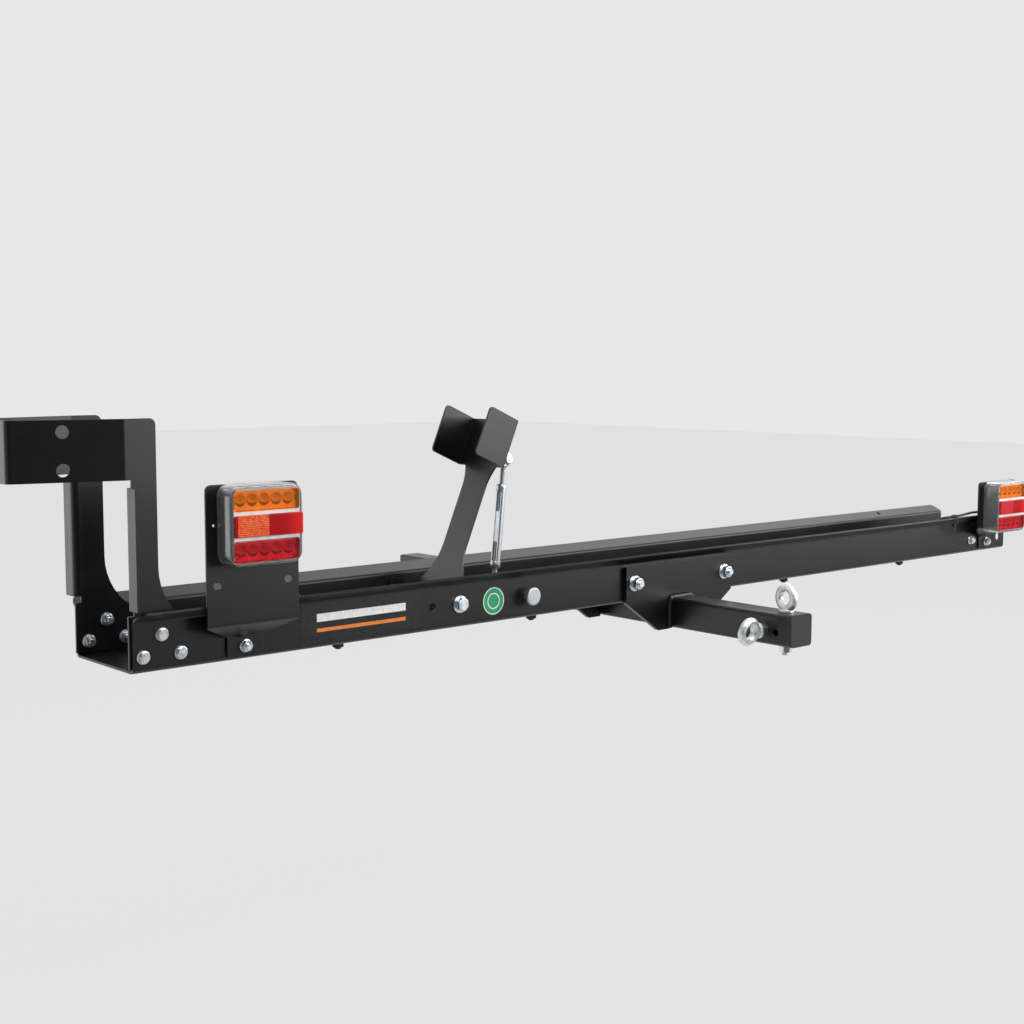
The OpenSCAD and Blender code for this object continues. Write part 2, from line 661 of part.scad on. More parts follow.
module cradle() intersection() {
    arm_trough(cradle_w / 2, cradle_d, cradle_s, cradle_s + cradle_h);
    translate([0, -mid_y, 0]) along_y(channel_w) polygon(rounded([
        [arm_back - cradle_d, cradle_s, 6], [arm_back + cut, cradle_s, 0],
        [arm_back + cut, cradle_s + cradle_h, 0], [arm_back - cradle_d, cradle_s + cradle_h, 6]]));
}

// Right half of the stem: a wide foot, a straight stretch and a shoulder under the cradle
function stem_half() = concat(
    [[0, -14], [ear_u - arm_bend, -14], [ear_u - arm_bend, ear_r]],
    arc([stem_half_w + flare_r, stem_start], flare_r,
        180 + acos((stem_half_w + flare_r - ear_u + arm_bend) / flare_r), 180),
    arc([stem_half_w + shoulder_r, shoulder_start], shoulder_r, 180,
        180 - asin((shoulder_end - shoulder_start) / shoulder_r), 6),
    [[0, shoulder_end]]);

module stem() translate([arm_back - sheet_t, 0, 0]) along_x(sheet_t) {
    polygon(stem_half());
    mirror([1, 0]) polygon(stem_half());
}

module support_arm() color(black) carrier_frame() arm_frame() difference() {
    union() {
        ears();
        stem();
        cradle();
    }
    hole_y(0, -mid_y, 0, pivot_hole_d, channel_w);
}

module arm_pivot_bolts() color(zinc) carrier_frame() on_both_walls() translate([pivot_x, 0, pivot_z])
    towards_near() flange_bolt(m12, 2 * sheet_t + ear_gap + run_fit + m12[3] + tip / 2);

module arm_pivot_nuts() color(zinc) carrier_frame() on_both_walls()
    translate([pivot_x, 2 * sheet_t + ear_gap + run_fit, pivot_z]) towards_far() flange_nut(m12);

// Lug on the back of the support that holds the turnbuckle's upper eye
module lug_cheek() translate([0, lug_in, 0]) along_y(lug_t) difference() {
    union() {
        polygon([[arm_back, lug_s - 12], [lug_x, lug_s - lug_eye_r], [lug_x, lug_s + lug_eye_r],
                 [arm_back, lug_s + 12]]);
        translate([lug_x, lug_s]) circle(r = lug_eye_r);
    }
    translate([lug_x, lug_s]) circle(d = lug_hole_d);
}

module turnbuckle_lug() color(black) carrier_frame() arm_frame() {
    lug_cheek();
    mirror([0, 1, 0]) lug_cheek();
    translate([arm_back, -lug_out, lug_s - 12]) cube([lug_t, 2 * lug_out, 24]);
}

module lug_bolt() color(zinc) carrier_frame() arm_frame() translate([lug_x, -lug_out, lug_s])
    towards_near() flange_bolt(m8, 2 * lug_out + m8[3] + tip / 2);

module lug_nut() color(zinc) carrier_frame() arm_frame() translate([lug_x, lug_out, lug_s])
    towards_far() flange_nut(m8);

// Turnbuckle, in its own frame at the clevis pin
module buckle_frame() translate([clevis_x, mid_y, pivot_z]) rotate([0, buckle_tilt, 0]) children();

// Eye at the origin with its threaded rod along +Z
module threaded_eye(hole_d, length) difference() {
    union() {
        translate([0, -eye_t / 2, 0]) towards_far() cylinder(d = eye_d, h = eye_t);
        cylinder(d = rod_d, h = length);
    }
    hole_y(0, -eye_t, 0, hole_d, 2 * eye_t);
}

module turnbuckle_lower_eye() color(galvanised) carrier_frame() buckle_frame()
    threaded_eye(lower_eye_hole_d, rod_in);

module turnbuckle_upper_eye() color(galvanised) carrier_frame() buckle_frame()
    translate([0, 0, buckle_span]) mirror([0, 0, 1]) threaded_eye(upper_eye_hole_d, rod_out);

module turnbuckle_body() color(galvanised) carrier_frame() buckle_frame()
    translate([0, 0, buckle_start]) {
        for (z = [0, buckle_l - collar_l]) translate([0, 0, z]) difference() {
            cylinder(d = collar_d, h = collar_l);
            translate([0, 0, -cut]) cylinder(d = rod_d + 2 * run_fit, h = collar_l + 2 * cut);
        }
        for (side = [-1, 1])
            translate([-bar_w / 2, side * (collar_d / 2 - bar_t / 2) - bar_t / 2, collar_l / 2])
                intersection() {
                    cube([bar_w, bar_t, buckle_l - collar_l]);
                    translate([bar_w / 2, bar_t / 2 - side * (collar_d / 2 - bar_t / 2), 0])
                        difference() {
                            cylinder(d = collar_d, h = buckle_l);
                            translate([0, 0, -cut]) cylinder(d = rod_d + 2 * run_fit, h = buckle_l + 2 * cut);
                        }
                }
    }

// Clevis pin that holds the turnbuckle between the walls
module clevis_pin() color(galvanised) carrier_frame() difference() {
    translate([clevis_x, -clevis_show, pivot_z]) {
        towards_far() cylinder(d = clevis_d, h = clevis_show + channel_w + clevis_tip - 2);
        translate([0, clevis_show + channel_w + clevis_tip - 2, 0]) towards_far()
            cylinder(d1 = clevis_d, d2 = clevis_d - 4, h = 2);
        towards_near() cylinder(d = clevis_head_d, h = clevis_head_t - 1.5);
        translate([0, -clevis_head_t + 1.5, 0]) towards_near()
            cylinder(d1 = clevis_head_d, d2 = clevis_head_d - 3, h = 1.5);
    }
    ball_seat();
}

module ball_place() translate([clevis_x, channel_w + clevis_tip / 2, pivot_z + clevis_d / 2 - ball_d / 2 + ball_proud])
    children();

module ball_seat() ball_place() {
    sphere(d = ball_d + 2 * run_fit);
    cylinder(d = ball_d + 2 * run_fit, h = ball_d);
}

module clevis_pin_ball() color(zinc) carrier_frame() ball_place() sphere(d = ball_d);

// Eyebolts: a forged ring on a collar, with a threaded shank
module eyebolt(shank) {
    translate([0, 0, ring_d / 2]) rotate([0, 90, 0]) rotate_extrude() translate([ring_r, 0]) circle(d = ring_t);
    cylinder(d = eye_collar_d, h = eye_collar_t);
    translate([0, 0, -shank]) cylinder(d = eye_thread_d, h = shank + cut);
}

module top_eye_place() translate([hitch_x, top_eye_y, 0]) children();
module side_eye_place() translate([hitch_x - tube_w / 2, side_eye_y, side_eye_z]) rotate([0, -90, 0]) children();

module eyebolt_top() color(zinc) carrier_frame() top_eye_place() eyebolt(tube_w + m12[3] + tip);

module eyebolt_side() color(zinc) carrier_frame() side_eye_place() translate([0, 0, eye_spacer_l])
    rotate([0, 0, 90]) eyebolt(eye_spacer_l + tube_w + m12[3] + tip);

module eyebolt_nuts() color(zinc) carrier_frame() {
    top_eye_place() translate([0, 0, -tube_w]) mirror([0, 0, 1]) flange_nut(m12);
    side_eye_place() translate([0, 0, -tube_w]) mirror([0, 0, 1]) flange_nut(m12);
}

module eyebolt_spacer() color(zinc) carrier_frame() side_eye_place() difference() {
    cylinder(d = m12[1] / cos(30), h = eye_spacer_l, $fn = 6);
    translate([0, 0, -cut]) cylinder(d = eye_thread_d + 2 * thread_fit, h = eye_spacer_l + 2 * cut);
}

// Lamp brackets, about the lamp's X. A lamp is given as its centre's [X, Z].
module bracket_outline(top) polygon(rounded([
    [-bracket_w / 2, top, bracket_corner_r], [-bracket_w / 2, bracket_fold_z - 1, 0],
    [-tab_w / 2, tab_top, 0], [-tab_w / 2, tab_bottom, 5],
    [tab_w / 2, tab_bottom, 5], [tab_w / 2, tab_top, 0],
    [bracket_w / 2, bracket_fold_z - 1, 0], [bracket_w / 2, top, bracket_corner_r]]));

module bracket(lamp, top) translate([lamp[0], 0, 0]) difference() {
    intersection() {
        translate([-bracket_w / 2, 0, 0]) along_x(bracket_w) polygon(folded([
            [-bracket_out, top], [-bracket_out, bracket_fold_z], [-sheet_t, tab_top],
            [-sheet_t, tab_bottom]], sheet_t, bend_r));
        translate([0, -bracket_out - cut, 0]) along_y(bracket_out + 2 * cut) bracket_outline(top);
    }
    hole_y(0, -bracket_out, tab_bolt_z, m8[0] + bolt_play, bracket_out + cut);
    for (side = [-1, 1]) {
        hole_y(side * peg_hole_out, -bracket_out - cut, lamp[1], peg_hole_d, bracket_out);
        hole_y(side * screw_out, -bracket_out - cut, lamp[1], screw_d + bolt_play, bracket_out);
    }
    hole_y(0, -bracket_out - cut, lamp[1] - exit_drop, grommet_d - 2, bracket_out);
}

// Slots for a number plate's bolts, in the tall bracket alone
module plate_slots(x) for (side = [-1, 1])
    translate([x + side * slot_out, -bracket_out - cut, slot_z]) along_y(bracket_out) slot(slot_l, slot_d);

module left_lamp_bracket() color(black) carrier_frame() difference() {
    bracket(left_lamp, left_bracket_top);
    plate_slots(left_lamp_x);
}

module right_lamp_bracket() color(black) carrier_frame() bracket(right_lamp, right_bracket_top);

// Bolts through the near wall: head inside, nut outside
module wall_bolt_places() {
    for (lamp = lamps) translate([lamp[0], -sheet_t, tab_bolt_z]) children();
    translate([rear_bolt_x, 0, rear_bolt_z]) children();
}

module bracket_bolts() color(zinc) carrier_frame() {
    for (lamp = lamps) translate([lamp[0], sheet_t, tab_bolt_z]) towards_far()
        flange_bolt(m8, 2 * sheet_t + m8[3] + tip / 2);
    translate([rear_bolt_x, sheet_t, rear_bolt_z]) towards_far() flange_bolt(m8, sheet_t + m8[3] + tip / 2);
}

module bracket_nuts() color(zinc) carrier_frame() wall_bolt_places() towards_near() flange_nut(m8);

// Lamps, in their own frame: the back's centre on the bracket, outwards along -Y
module lamp_place(lamp) translate([lamp[0], -bracket_out, lamp[1]]) children();

module lamp_slab(w, h, r, from, to) translate([0, -to, 0]) along_y(to - from) rounded_rect(w, h, r);

function base_w() = lamp_w - 2 * (lens_t + lens_fit);
function base_h() = lamp_h - 2 * (lens_t + lens_fit);

module lamp_base(lamp) carrier_frame() lamp_place(lamp) difference() {
    lamp_slab(base_w(), base_h(), lamp_corner_r - lens_t, 0, base_d);
    lamp_slab(base_w() - 2 * base_wall, base_h() - 2 * base_wall, lamp_corner_r - lens_t - base_wall,
              base_wall, base_d + cut);
    hole_y(0, -base_wall - cut, -exit_drop, cable_d + 1, base_wall + 2 * cut);
    for (side = [-1, 1]) hole_y(side * screw_out, -base_wall - cut, 0, screw_d - 1, base_wall + 2 * cut);
}

module window_rect(w, h) rounded_rect(w, h, 3);

function amber_w() = lamp_w - 2 * window_inset;
function reflector_w() = lamp_w - window_inset;

module lamp_lens(lamp) carrier_frame() lamp_place(lamp) difference() {
    lamp_slab(lamp_w, lamp_h, lamp_corner_r, lens_back, lamp_d);
    lamp_slab(lamp_w - 2 * lens_t, lamp_h - 2 * lens_t, lamp_corner_r - lens_t, lens_back - cut, lamp_d - lens_t);
    for (row = [-1, 1]) translate([0, -lamp_d - cut, row * window_pitch]) along_y(lens_t + 2 * cut)
        window_rect(amber_w(), window_h);
    translate([0, -lamp_d - cut, 0]) along_y(lens_t + 2 * cut) window_rect(reflector_w() - window_inset, window_h);
}

module lamp_window(lamp, row, w) carrier_frame() lamp_place(lamp)
    translate([0, -lamp_d - window_t + lens_t, row * window_pitch]) along_y(window_t)
        window_rect(w - 0.1, window_h - 0.1);

module lamp_board(lamp) carrier_frame() lamp_place(lamp) difference() {
    lamp_slab(base_w() - 2 * base_wall - board_fit, base_h() - 2 * base_wall - board_fit,
              lamp_corner_r - lens_t - base_wall, board_back, board_back + board_t);
    for (side = [-1, 1]) hole_y(side * screw_out, -board_back - board_t - cut, 0, 9, board_t + 2 * cut);
}

module lamp_leds(lamp) carrier_frame() lamp_place(lamp) for (row = [-1, 1], i = [0 : led_count - 1])
    translate([(i - (led_count - 1) / 2) * led_pitch, -board_back - board_t, row * window_pitch]) towards_near() {
        cylinder(d = led_d, h = 3);
        cylinder(d = led_d / 2, h = 7);
    }

module left_lamp_base() color(plastic) lamp_base(left_lamp);
module left_lamp_lens() color(clear) lamp_lens(left_lamp);
module left_lamp_amber() color("orange") lamp_window(left_lamp, 1, amber_w());
module left_lamp_reflector() color("red") lamp_window(left_lamp, 0, reflector_w() - window_inset);
module left_lamp_tail() color("crimson") lamp_window(left_lamp, -1, amber_w());
module left_lamp_board() color("darkgreen") lamp_board(left_lamp);
module left_lamp_leds() color("gold") lamp_leds(left_lamp);

module right_lamp_base() color(plastic) lamp_base(right_lamp);
module right_lamp_lens() color(clear) lamp_lens(right_lamp);
module right_lamp_amber() color("orange") lamp_window(right_lamp, 1, amber_w());
module right_lamp_reflector() color("red") lamp_window(right_lamp, 0, reflector_w() - window_inset);
module right_lamp_tail() color("crimson") lamp_window(right_lamp, -1, amber_w());
module right_lamp_board() color("darkgreen") lamp_board(right_lamp);
module right_lamp_leds() color("gold") lamp_leds(right_lamp);

// Screws from behind the brackets into the lamp bases
module lamp_screws() color(zinc) carrier_frame() for (lamp = lamps, side = [-1, 1])
    translate([lamp[0] + side * screw_out, -bracket_out + sheet_t, lamp[1]]) {
        towards_far() cylinder(d = 9, h = 3);
        towards_near() cylinder(d = screw_d - 1 - 2 * thread_fit, h = sheet_t + base_wall + 2);
    }

// Rubber rings round the cable in the brackets
module lamp_grommets() color(plastic) carrier_frame() for (lamp = lamps)
    translate([lamp[0], -bracket_out, lamp[1] - exit_drop]) difference() {
        union() {
            towards_far() cylinder(d = grommet_d - 2, h = sheet_t);
            translate([0, sheet_t, 0]) towards_far() cylinder(d = grommet_d, h = 2);
        }
        hole_y(0, -cut, 0, cable_d, sheet_t + 2 + 2 * cut);
    }

module lamp_cable() color(plastic) carrier_frame() swept_tube(cable_route, cable_d, 8);

// Tie that holds the cable down on the near lip
module cable_tie() color(plastic) carrier_frame() {
    translate([tie_x - tie_w / 2, 0, 0]) along_x(tie_w) difference() {
        polygon(rounded([[-lip_hole_out - 12.4, 64.6, 3], [-lip_hole_out + 1.2, 64.6, 3],
                         [-lip_hole_out + 1.2, 83.6, 4], [-lip_hole_out - 12.4, 83.6, 4]]));
        polygon(rounded([[-lip_hole_out - 11.2, 65.8, 2], [-lip_hole_out, 65.8, 2],
                         [-lip_hole_out, 82.4, 3], [-lip_hole_out - 11.2, 82.4, 3]]));
    }
    translate([tie_x - 3, -lip_hole_out - 8, 59.6]) cube([6, 6, 5]);
    translate([tie_x - tie_w / 2, -lip_hole_out - 5.6, 50]) cube([tie_w, 1.2, 9.6]);
}

// Clips that hold the cable on the channel's floor
module cable_clips() color(plastic) carrier_frame() for (x = clip_xs) difference() {
    translate([x - clip_w / 2, 0, 0]) along_x(clip_w) union() {
        translate([cable_y, cable_z]) circle(d = cable_d + 2 * clip_t);
        translate([cable_y, sheet_t]) square([clip_bolt_y - cable_y + m10[2] / 2, clip_t]);
    }
    translate([x - clip_w, cable_y, cable_z]) rotate([0, 90, 0]) cylinder(d = cable_d, h = 2 * clip_w);
    translate([x, clip_bolt_y, 0]) cylinder(d = m10[0] + bolt_play, h = cable_z);
}

module clip_bolts() color(plastic) carrier_frame() for (x = clip_xs)
    translate([x, clip_bolt_y, sheet_t + clip_t]) flange_bolt(m10, sheet_t + clip_t + m10[3] + tip / 2);

module clip_nuts() color(plastic) carrier_frame() for (x = clip_xs)
    translate([x, clip_bolt_y, 0]) mirror([0, 0, 1]) flange_nut(m10);

// Labels on the near wall
module side_label() color("#111214") carrier_frame() translate([label_x, -label_t, label_z])
    along_y(label_t) rounded_rect(label_w, label_h, 5);

module round_label() color("seagreen") carrier_frame() translate([round_label_x, -label_t, round_label_z])
    towards_far() cylinder(d = round_label_d, h = label_t);

track_channel();
wheel_chock();
chock_bolts();
chock_nuts();
hitch_tube();
tube_end_cap();
saddle_plate_near();
saddle_plate_far();
saddle_welds();
saddle_bolts();
saddle_nuts();
support_arm();
arm_pivot_bolts();
arm_pivot_nuts();
turnbuckle_lug();
lug_bolt();
lug_nut();
turnbuckle_lower_eye();
turnbuckle_body();
turnbuckle_upper_eye();
clevis_pin();
clevis_pin_ball();
eyebolt_top();
eyebolt_side();
eyebolt_nuts();
eyebolt_spacer();
left_lamp_bracket();
right_lamp_bracket();
bracket_bolts();
bracket_nuts();
left_lamp_base();
left_lamp_lens();
left_lamp_amber();
left_lamp_reflector();
left_lamp_tail();
left_lamp_board();
left_lamp_leds();
right_lamp_base();
right_lamp_lens();
right_lamp_amber();
right_lamp_reflector();
right_lamp_tail();
right_lamp_board();
right_lamp_leds();
lamp_screws();
lamp_grommets();
lamp_cable();
cable_tie();
cable_clips();
clip_bolts();
clip_nuts();
side_label();
round_label();
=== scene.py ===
"""Dressed model of a hitch-mounted motorcycle carrier: folded channel, wheel chock, wheel support, lamps, strap eyes.

Sizes are in millimetres in the channel's own frame: X runs along the channel from its front end, Y from the near
wall's outer face towards the vehicle, and Z up from the channel's underside. They become the row's metres once,
when a mesh is written. Every new piece is a surface worked out as whole arrays on a grid.
"""

from __future__ import annotations

import json
import logging
import math
from dataclasses import dataclass, field
from enum import Enum
from typing import Any

import bmesh
import bpy
import numpy as np
from mathutils import Matrix
from numpy.typing import NDArray

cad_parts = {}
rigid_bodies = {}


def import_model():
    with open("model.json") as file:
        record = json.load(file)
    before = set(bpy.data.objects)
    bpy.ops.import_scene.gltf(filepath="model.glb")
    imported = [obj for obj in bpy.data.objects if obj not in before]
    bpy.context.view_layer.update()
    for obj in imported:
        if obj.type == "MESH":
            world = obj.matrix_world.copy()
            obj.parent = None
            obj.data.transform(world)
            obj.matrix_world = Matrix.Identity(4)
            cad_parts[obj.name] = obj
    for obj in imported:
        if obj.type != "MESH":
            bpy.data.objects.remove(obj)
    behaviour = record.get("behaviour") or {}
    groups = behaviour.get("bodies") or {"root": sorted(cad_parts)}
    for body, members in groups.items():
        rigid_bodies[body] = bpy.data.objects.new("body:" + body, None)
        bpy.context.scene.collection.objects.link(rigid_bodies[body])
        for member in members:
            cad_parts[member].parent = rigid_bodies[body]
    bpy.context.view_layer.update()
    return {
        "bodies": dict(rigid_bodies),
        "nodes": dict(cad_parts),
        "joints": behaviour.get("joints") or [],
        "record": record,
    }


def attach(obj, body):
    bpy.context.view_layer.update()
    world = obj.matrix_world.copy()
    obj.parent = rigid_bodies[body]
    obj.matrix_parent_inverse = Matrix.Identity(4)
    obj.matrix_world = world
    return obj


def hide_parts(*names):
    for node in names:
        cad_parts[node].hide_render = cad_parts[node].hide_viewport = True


LOG = logging.getLogger("carrier")

Array = NDArray[np.float64]
Vector3 = tuple[float, float, float]
Pair = tuple[float, float]
Tree = bpy.types.NodeTree
Socket = bpy.types.NodeSocket

MM = 0.001
# Points closer than this, in metres, become one
WELD_DISTANCE = 2e-6
PIN_CENTRE = np.array((987.0, 665.0, -25.0))
CHANNEL_LENGTH = 2000.0
CHANNEL_WIDTH = 154.0
SHEET = 3.0
# The lamps' middles in X and Z, how far their brackets stand off the near wall, and where the cable leaves them
LAMP_CENTRES = ((158.0, 180.0), (1927.0, 94.0))
BRACKET_OUT = 26.0
CABLE_DROP = 13.0
FULL_TURN = 2 * math.pi
# Most values of a noise lie between these
NOISE_SPAN = (0.3, 0.7)
# Refractive index of acrylic and polycarbonate
PLASTIC_INDEX = 1.49


class Body(Enum):
    """Bodies of the mechanism that a piece can ride on."""

    ROOT = "root"
    SUPPORT = "support"
    LOWER_EYE = "lower_eye"
    BUCKLE = "buckle"
    UPPER_EYE = "upper_eye"
    CLEVIS_PIN = "clevis_pin"


class Side(Enum):
    """Walls of the channel, with the sign of the way out of each."""

    NEAR = -1
    FAR = 1

    def face(self, out: float | Array) -> float | Array:
        """Y at a distance beyond the wall's outer face."""
        return -out if self is Side.NEAR else CHANNEL_WIDTH + out


# Shader nodes


def linear(colour: str) -> tuple[float, float, float, float]:
    """Turns an sRGB hex colour to linear light.

    Args:
        colour: Six hexadecimal digits after a hash sign.

    Returns:
        Red, green, blue and an alpha of one.
    """
    levels = [int(colour[i : i + 2], 16) / 255 for i in (1, 3, 5)]
    red, green, blue = (c / 12.92 if c <= 0.04045 else ((c + 0.055) / 1.055) ** 2.4 for c in levels)
    return red, green, blue, 1.0


def add_node(tree: Tree, kind: str, inputs: dict[str | int, Any] | None = None, **settings: Any) -> bpy.types.Node:
    """Adds one shader node with its settings and links.

    Args:
        tree: Node tree of the material or world.
        kind: Node type without its ShaderNode prefix.
        inputs: Value, or output socket to link, for each input by name or number.
        settings: Properties of the node.

    Returns:
        The new node.
    """
    node = tree.nodes.new("ShaderNode" + kind)
    for key, value in settings.items():
        setattr(node, key, value)
    for key, value in (inputs or {}).items():
        if isinstance(value, Socket):
            tree.links.new(value, node.inputs[key])
        else:
            node.inputs[key].default_value = value
    return node


def calculate(tree: Tree, operation: str, *values: Any) -> Socket:
    """Result of a Math node for an operation on two or three values."""
    return add_node(tree, "Math", dict(enumerate(values)), operation=operation).outputs[0]


def mapped(tree: Tree, value: Socket, start: float, end: float, low: float = 0.0, high: float = 1.0,
           **settings: Any) -> Socket:
    """Number that runs from low to high as value runs from start to end."""
    return add_node(tree, "MapRange", {"Value": value, "From Min": start, "From Max": end, "To Min": low,
                                       "To Max": high}, **settings).outputs["Result"]


@dataclass(frozen=True)
class Finish:
    """A finish: its name, the record's slot that it belongs to, and a way to build its material once."""

    name: str
    slot: str

    def material(self) -> bpy.types.Material:
        """Builds the material, or returns the one that is already there.

        Returns:
            The material.
        """
        made = bpy.data.materials.get(self.name)
        if made is None:
            made = bpy.data.materials.new(self.name)
            made.use_nodes = True
            made.node_tree.nodes.clear()
            shader = self.dress(made.node_tree)
            add_node(made.node_tree, "OutputMaterial", {"Surface": shader})
        return made

    def dress(self, tree: Tree) -> Socket:
        """Builds the shader; each kind of finish has its own."""
        raise NotImplementedError

    def grain(self, tree: Tree, size: float, detail: float = 2.0) -> Socket:
        """Noise in object space whose features are about as large as size.

        Args:
            tree: Node tree to add to.
            size: Width of one feature in millimetres.
            detail: Octaves of the noise.

        Returns:
            The noise value, from 0 to 1.
        """
        place = add_node(tree, "TexCoord").outputs["Object"]
        return add_node(tree, "TexNoise", {"Vector": place, "Scale": 1 / (size * MM), "Detail": detail}).outputs["Fac"]

    def between(self, tree: Tree, value: Socket, low: str, high: str, span: Pair = NOISE_SPAN) -> Socket:
        """Colour that runs from low to high as value runs over the span.

        Args:
            tree: Node tree to add to.
            value: Number that picks the colour.
            low: Colour at the span's start.
            high: Colour at its end.
            span: Values between which the colour changes.

        Returns:
            The colour.
        """
        ramp = add_node(tree, "ValToRGB", {"Fac": value})
        for stop, position, colour in zip(ramp.color_ramp.elements, span, (low, high)):
            stop.position, stop.color = position, linear(colour)
        return ramp.outputs["Color"]

    def scaled(self, tree: Tree, value: Socket, low: float, high: float) -> Socket:
        """Number that runs from low to high as a noise runs over its span."""
        return mapped(tree, value, *NOISE_SPAN, low, high)

    def relief(self, tree: Tree, height: Socket, height_mm: float, strength: float = 0.5,
               **normal: Socket) -> Socket:
        """Normal of a relief whose height runs from 0 to 1 times height_mm, on the surface's normal or a given one."""
        return add_node(tree, "Bump", {"Strength": strength, "Distance": height_mm * MM, "Height": height,
                                       **normal}).outputs["Normal"]


@dataclass(frozen=True)
class PowderCoat(Finish):
    """Polyester powder coat with a fine sand texture, baked on steel: satin black whose grains catch the light."""

    low: str = "#09090a"
    high: str = "#121214"
    roughness: Pair = (0.28, 0.38)
    # Sand grains of such a coat are 0.3 to 0.5 mm, drawn at 1.4 mm so that they show in the render
    grain_mm: float = 1.4
    grain_height_mm: float = 0.05
    # Slow change of the coat's thickness over the sheet
    cloud_mm: float = 70.0
    # A folded sheet's cut edges are rounded by the coat
    edge_radius_mm: float = 0.8

    def dress(self, tree: Tree) -> Socket:
        """Dark base with grain in its colour, roughness and height, and rounded edges.

        Args:
            tree: Node tree of the material.

        Returns:
            The shader's output.
        """
        grain = self.grain(tree, self.grain_mm, 3)
        edge = add_node(tree, "Bevel", {"Radius": self.edge_radius_mm * MM}, samples=4)
        mixed = calculate(tree, "MULTIPLY", grain, self.grain(tree, self.cloud_mm))
        return add_node(tree, "BsdfPrincipled", {
            "Base Color": self.between(tree, calculate(tree, "MULTIPLY", mixed, 2.0), self.low, self.high),
            "Roughness": self.scaled(tree, grain, *self.roughness),
            "Normal": self.relief(tree, grain, self.grain_height_mm, Normal=edge.outputs["Normal"]),
        }).outputs["BSDF"]


@dataclass(frozen=True)
class PlatedSteel(Finish):
    """Zinc-plated or galvanised steel: a soft metallic shine that clouds from spot to spot."""

    low: str = "#c2cdd8"
    high: str = "#e6ecf0"
    roughness: Pair = (0.3, 0.44)
    # Clouds of the passivation are some millimetres wide
    cloud_mm: float = 5.0
    grain_mm: float = 0.7
    grain_height_mm: float = 0.02

    def dress(self, tree: Tree) -> Socket:
        """Metal whose tint and roughness follow the passivation's clouds.

        Args:
            tree: Node tree of the material.

        Returns:
            The shader's output.
        """
        cloud = self.grain(tree, self.cloud_mm, 4)
        return add_node(tree, "BsdfPrincipled", {
            "Base Color": self.between(tree, cloud, self.low, self.high),
            "Metallic": 1.0,
            "Roughness": self.scaled(tree, cloud, *self.roughness),
            "Normal": self.relief(tree, self.grain(tree, self.grain_mm), self.grain_height_mm, 0.4),
        }).outputs["BSDF"]


@dataclass(frozen=True)
class Moulded(Finish):
    """Moulded plastic or rubber: an even colour with a fine spark-eroded grain."""

    low: str
    high: str
    roughness: Pair = (0.4, 0.5)
    grain_mm: float = 0.8
    grain_height_mm: float = 0.04

    def dress(self, tree: Tree) -> Socket:
        """Dielectric with grain in its colour, roughness and height.

        Args:
            tree: Node tree of the material.

        Returns:
            The shader's output.
        """
        grain = self.grain(tree, self.grain_mm)
        return add_node(tree, "BsdfPrincipled", {
            "Base Color": self.between(tree, grain, self.low, self.high),
            "Roughness": self.scaled(tree, grain, *self.roughness),
            "Normal": self.relief(tree, grain, self.grain_height_mm)}).outputs["BSDF"]


@dataclass(frozen=True)
class TintedPlastic(Finish):
    """Moulded polycarbonate or acrylic that light passes: glossy outside, with fine flutes inside that blur it."""

    low: str
    high: str
    tint: str
    transmission: float
    roughness: float = 0.1
    specular: float = 0.5
    # Flutes run up the window; a wave of scale one has twenty to the metre
    flute_mm: float = 2.2
    flute_height_mm: float = 0.12
    flutes_at_scale_one: float = 20.0

    def dress(self, tree: Tree) -> Socket:
        """Glassy shader for what is seen, and a clear tint for the lamps' light so that the inside is lit.

        Args:
            tree: Node tree of the material.

        Returns:
            The shader's output.
        """
        flutes = add_node(tree, "TexWave", {
            "Vector": add_node(tree, "TexCoord").outputs["Object"], "Distortion": 0.3, "Detail": 1.0,
            "Scale": 1 / (self.flute_mm * MM) / self.flutes_at_scale_one}, bands_direction="X")
        glass = add_node(tree, "BsdfPrincipled", {
            "Base Color": self.between(tree, self.grain(tree, 9), self.low, self.high),
            "Roughness": self.roughness, "IOR": PLASTIC_INDEX, "Transmission Weight": self.transmission,
            "Specular IOR Level": self.specular,
            "Normal": self.relief(tree, flutes.outputs["Fac"], self.flute_height_mm, 0.35)})
        clear = add_node(tree, "BsdfTransparent", {"Color": linear(self.tint)})
        path = add_node(tree, "LightPath")
        return add_node(tree, "MixShader", {0: path.outputs["Is Shadow Ray"], 1: glass.outputs["BSDF"],
                                            2: clear.outputs["BSDF"]}).outputs["Shader"]


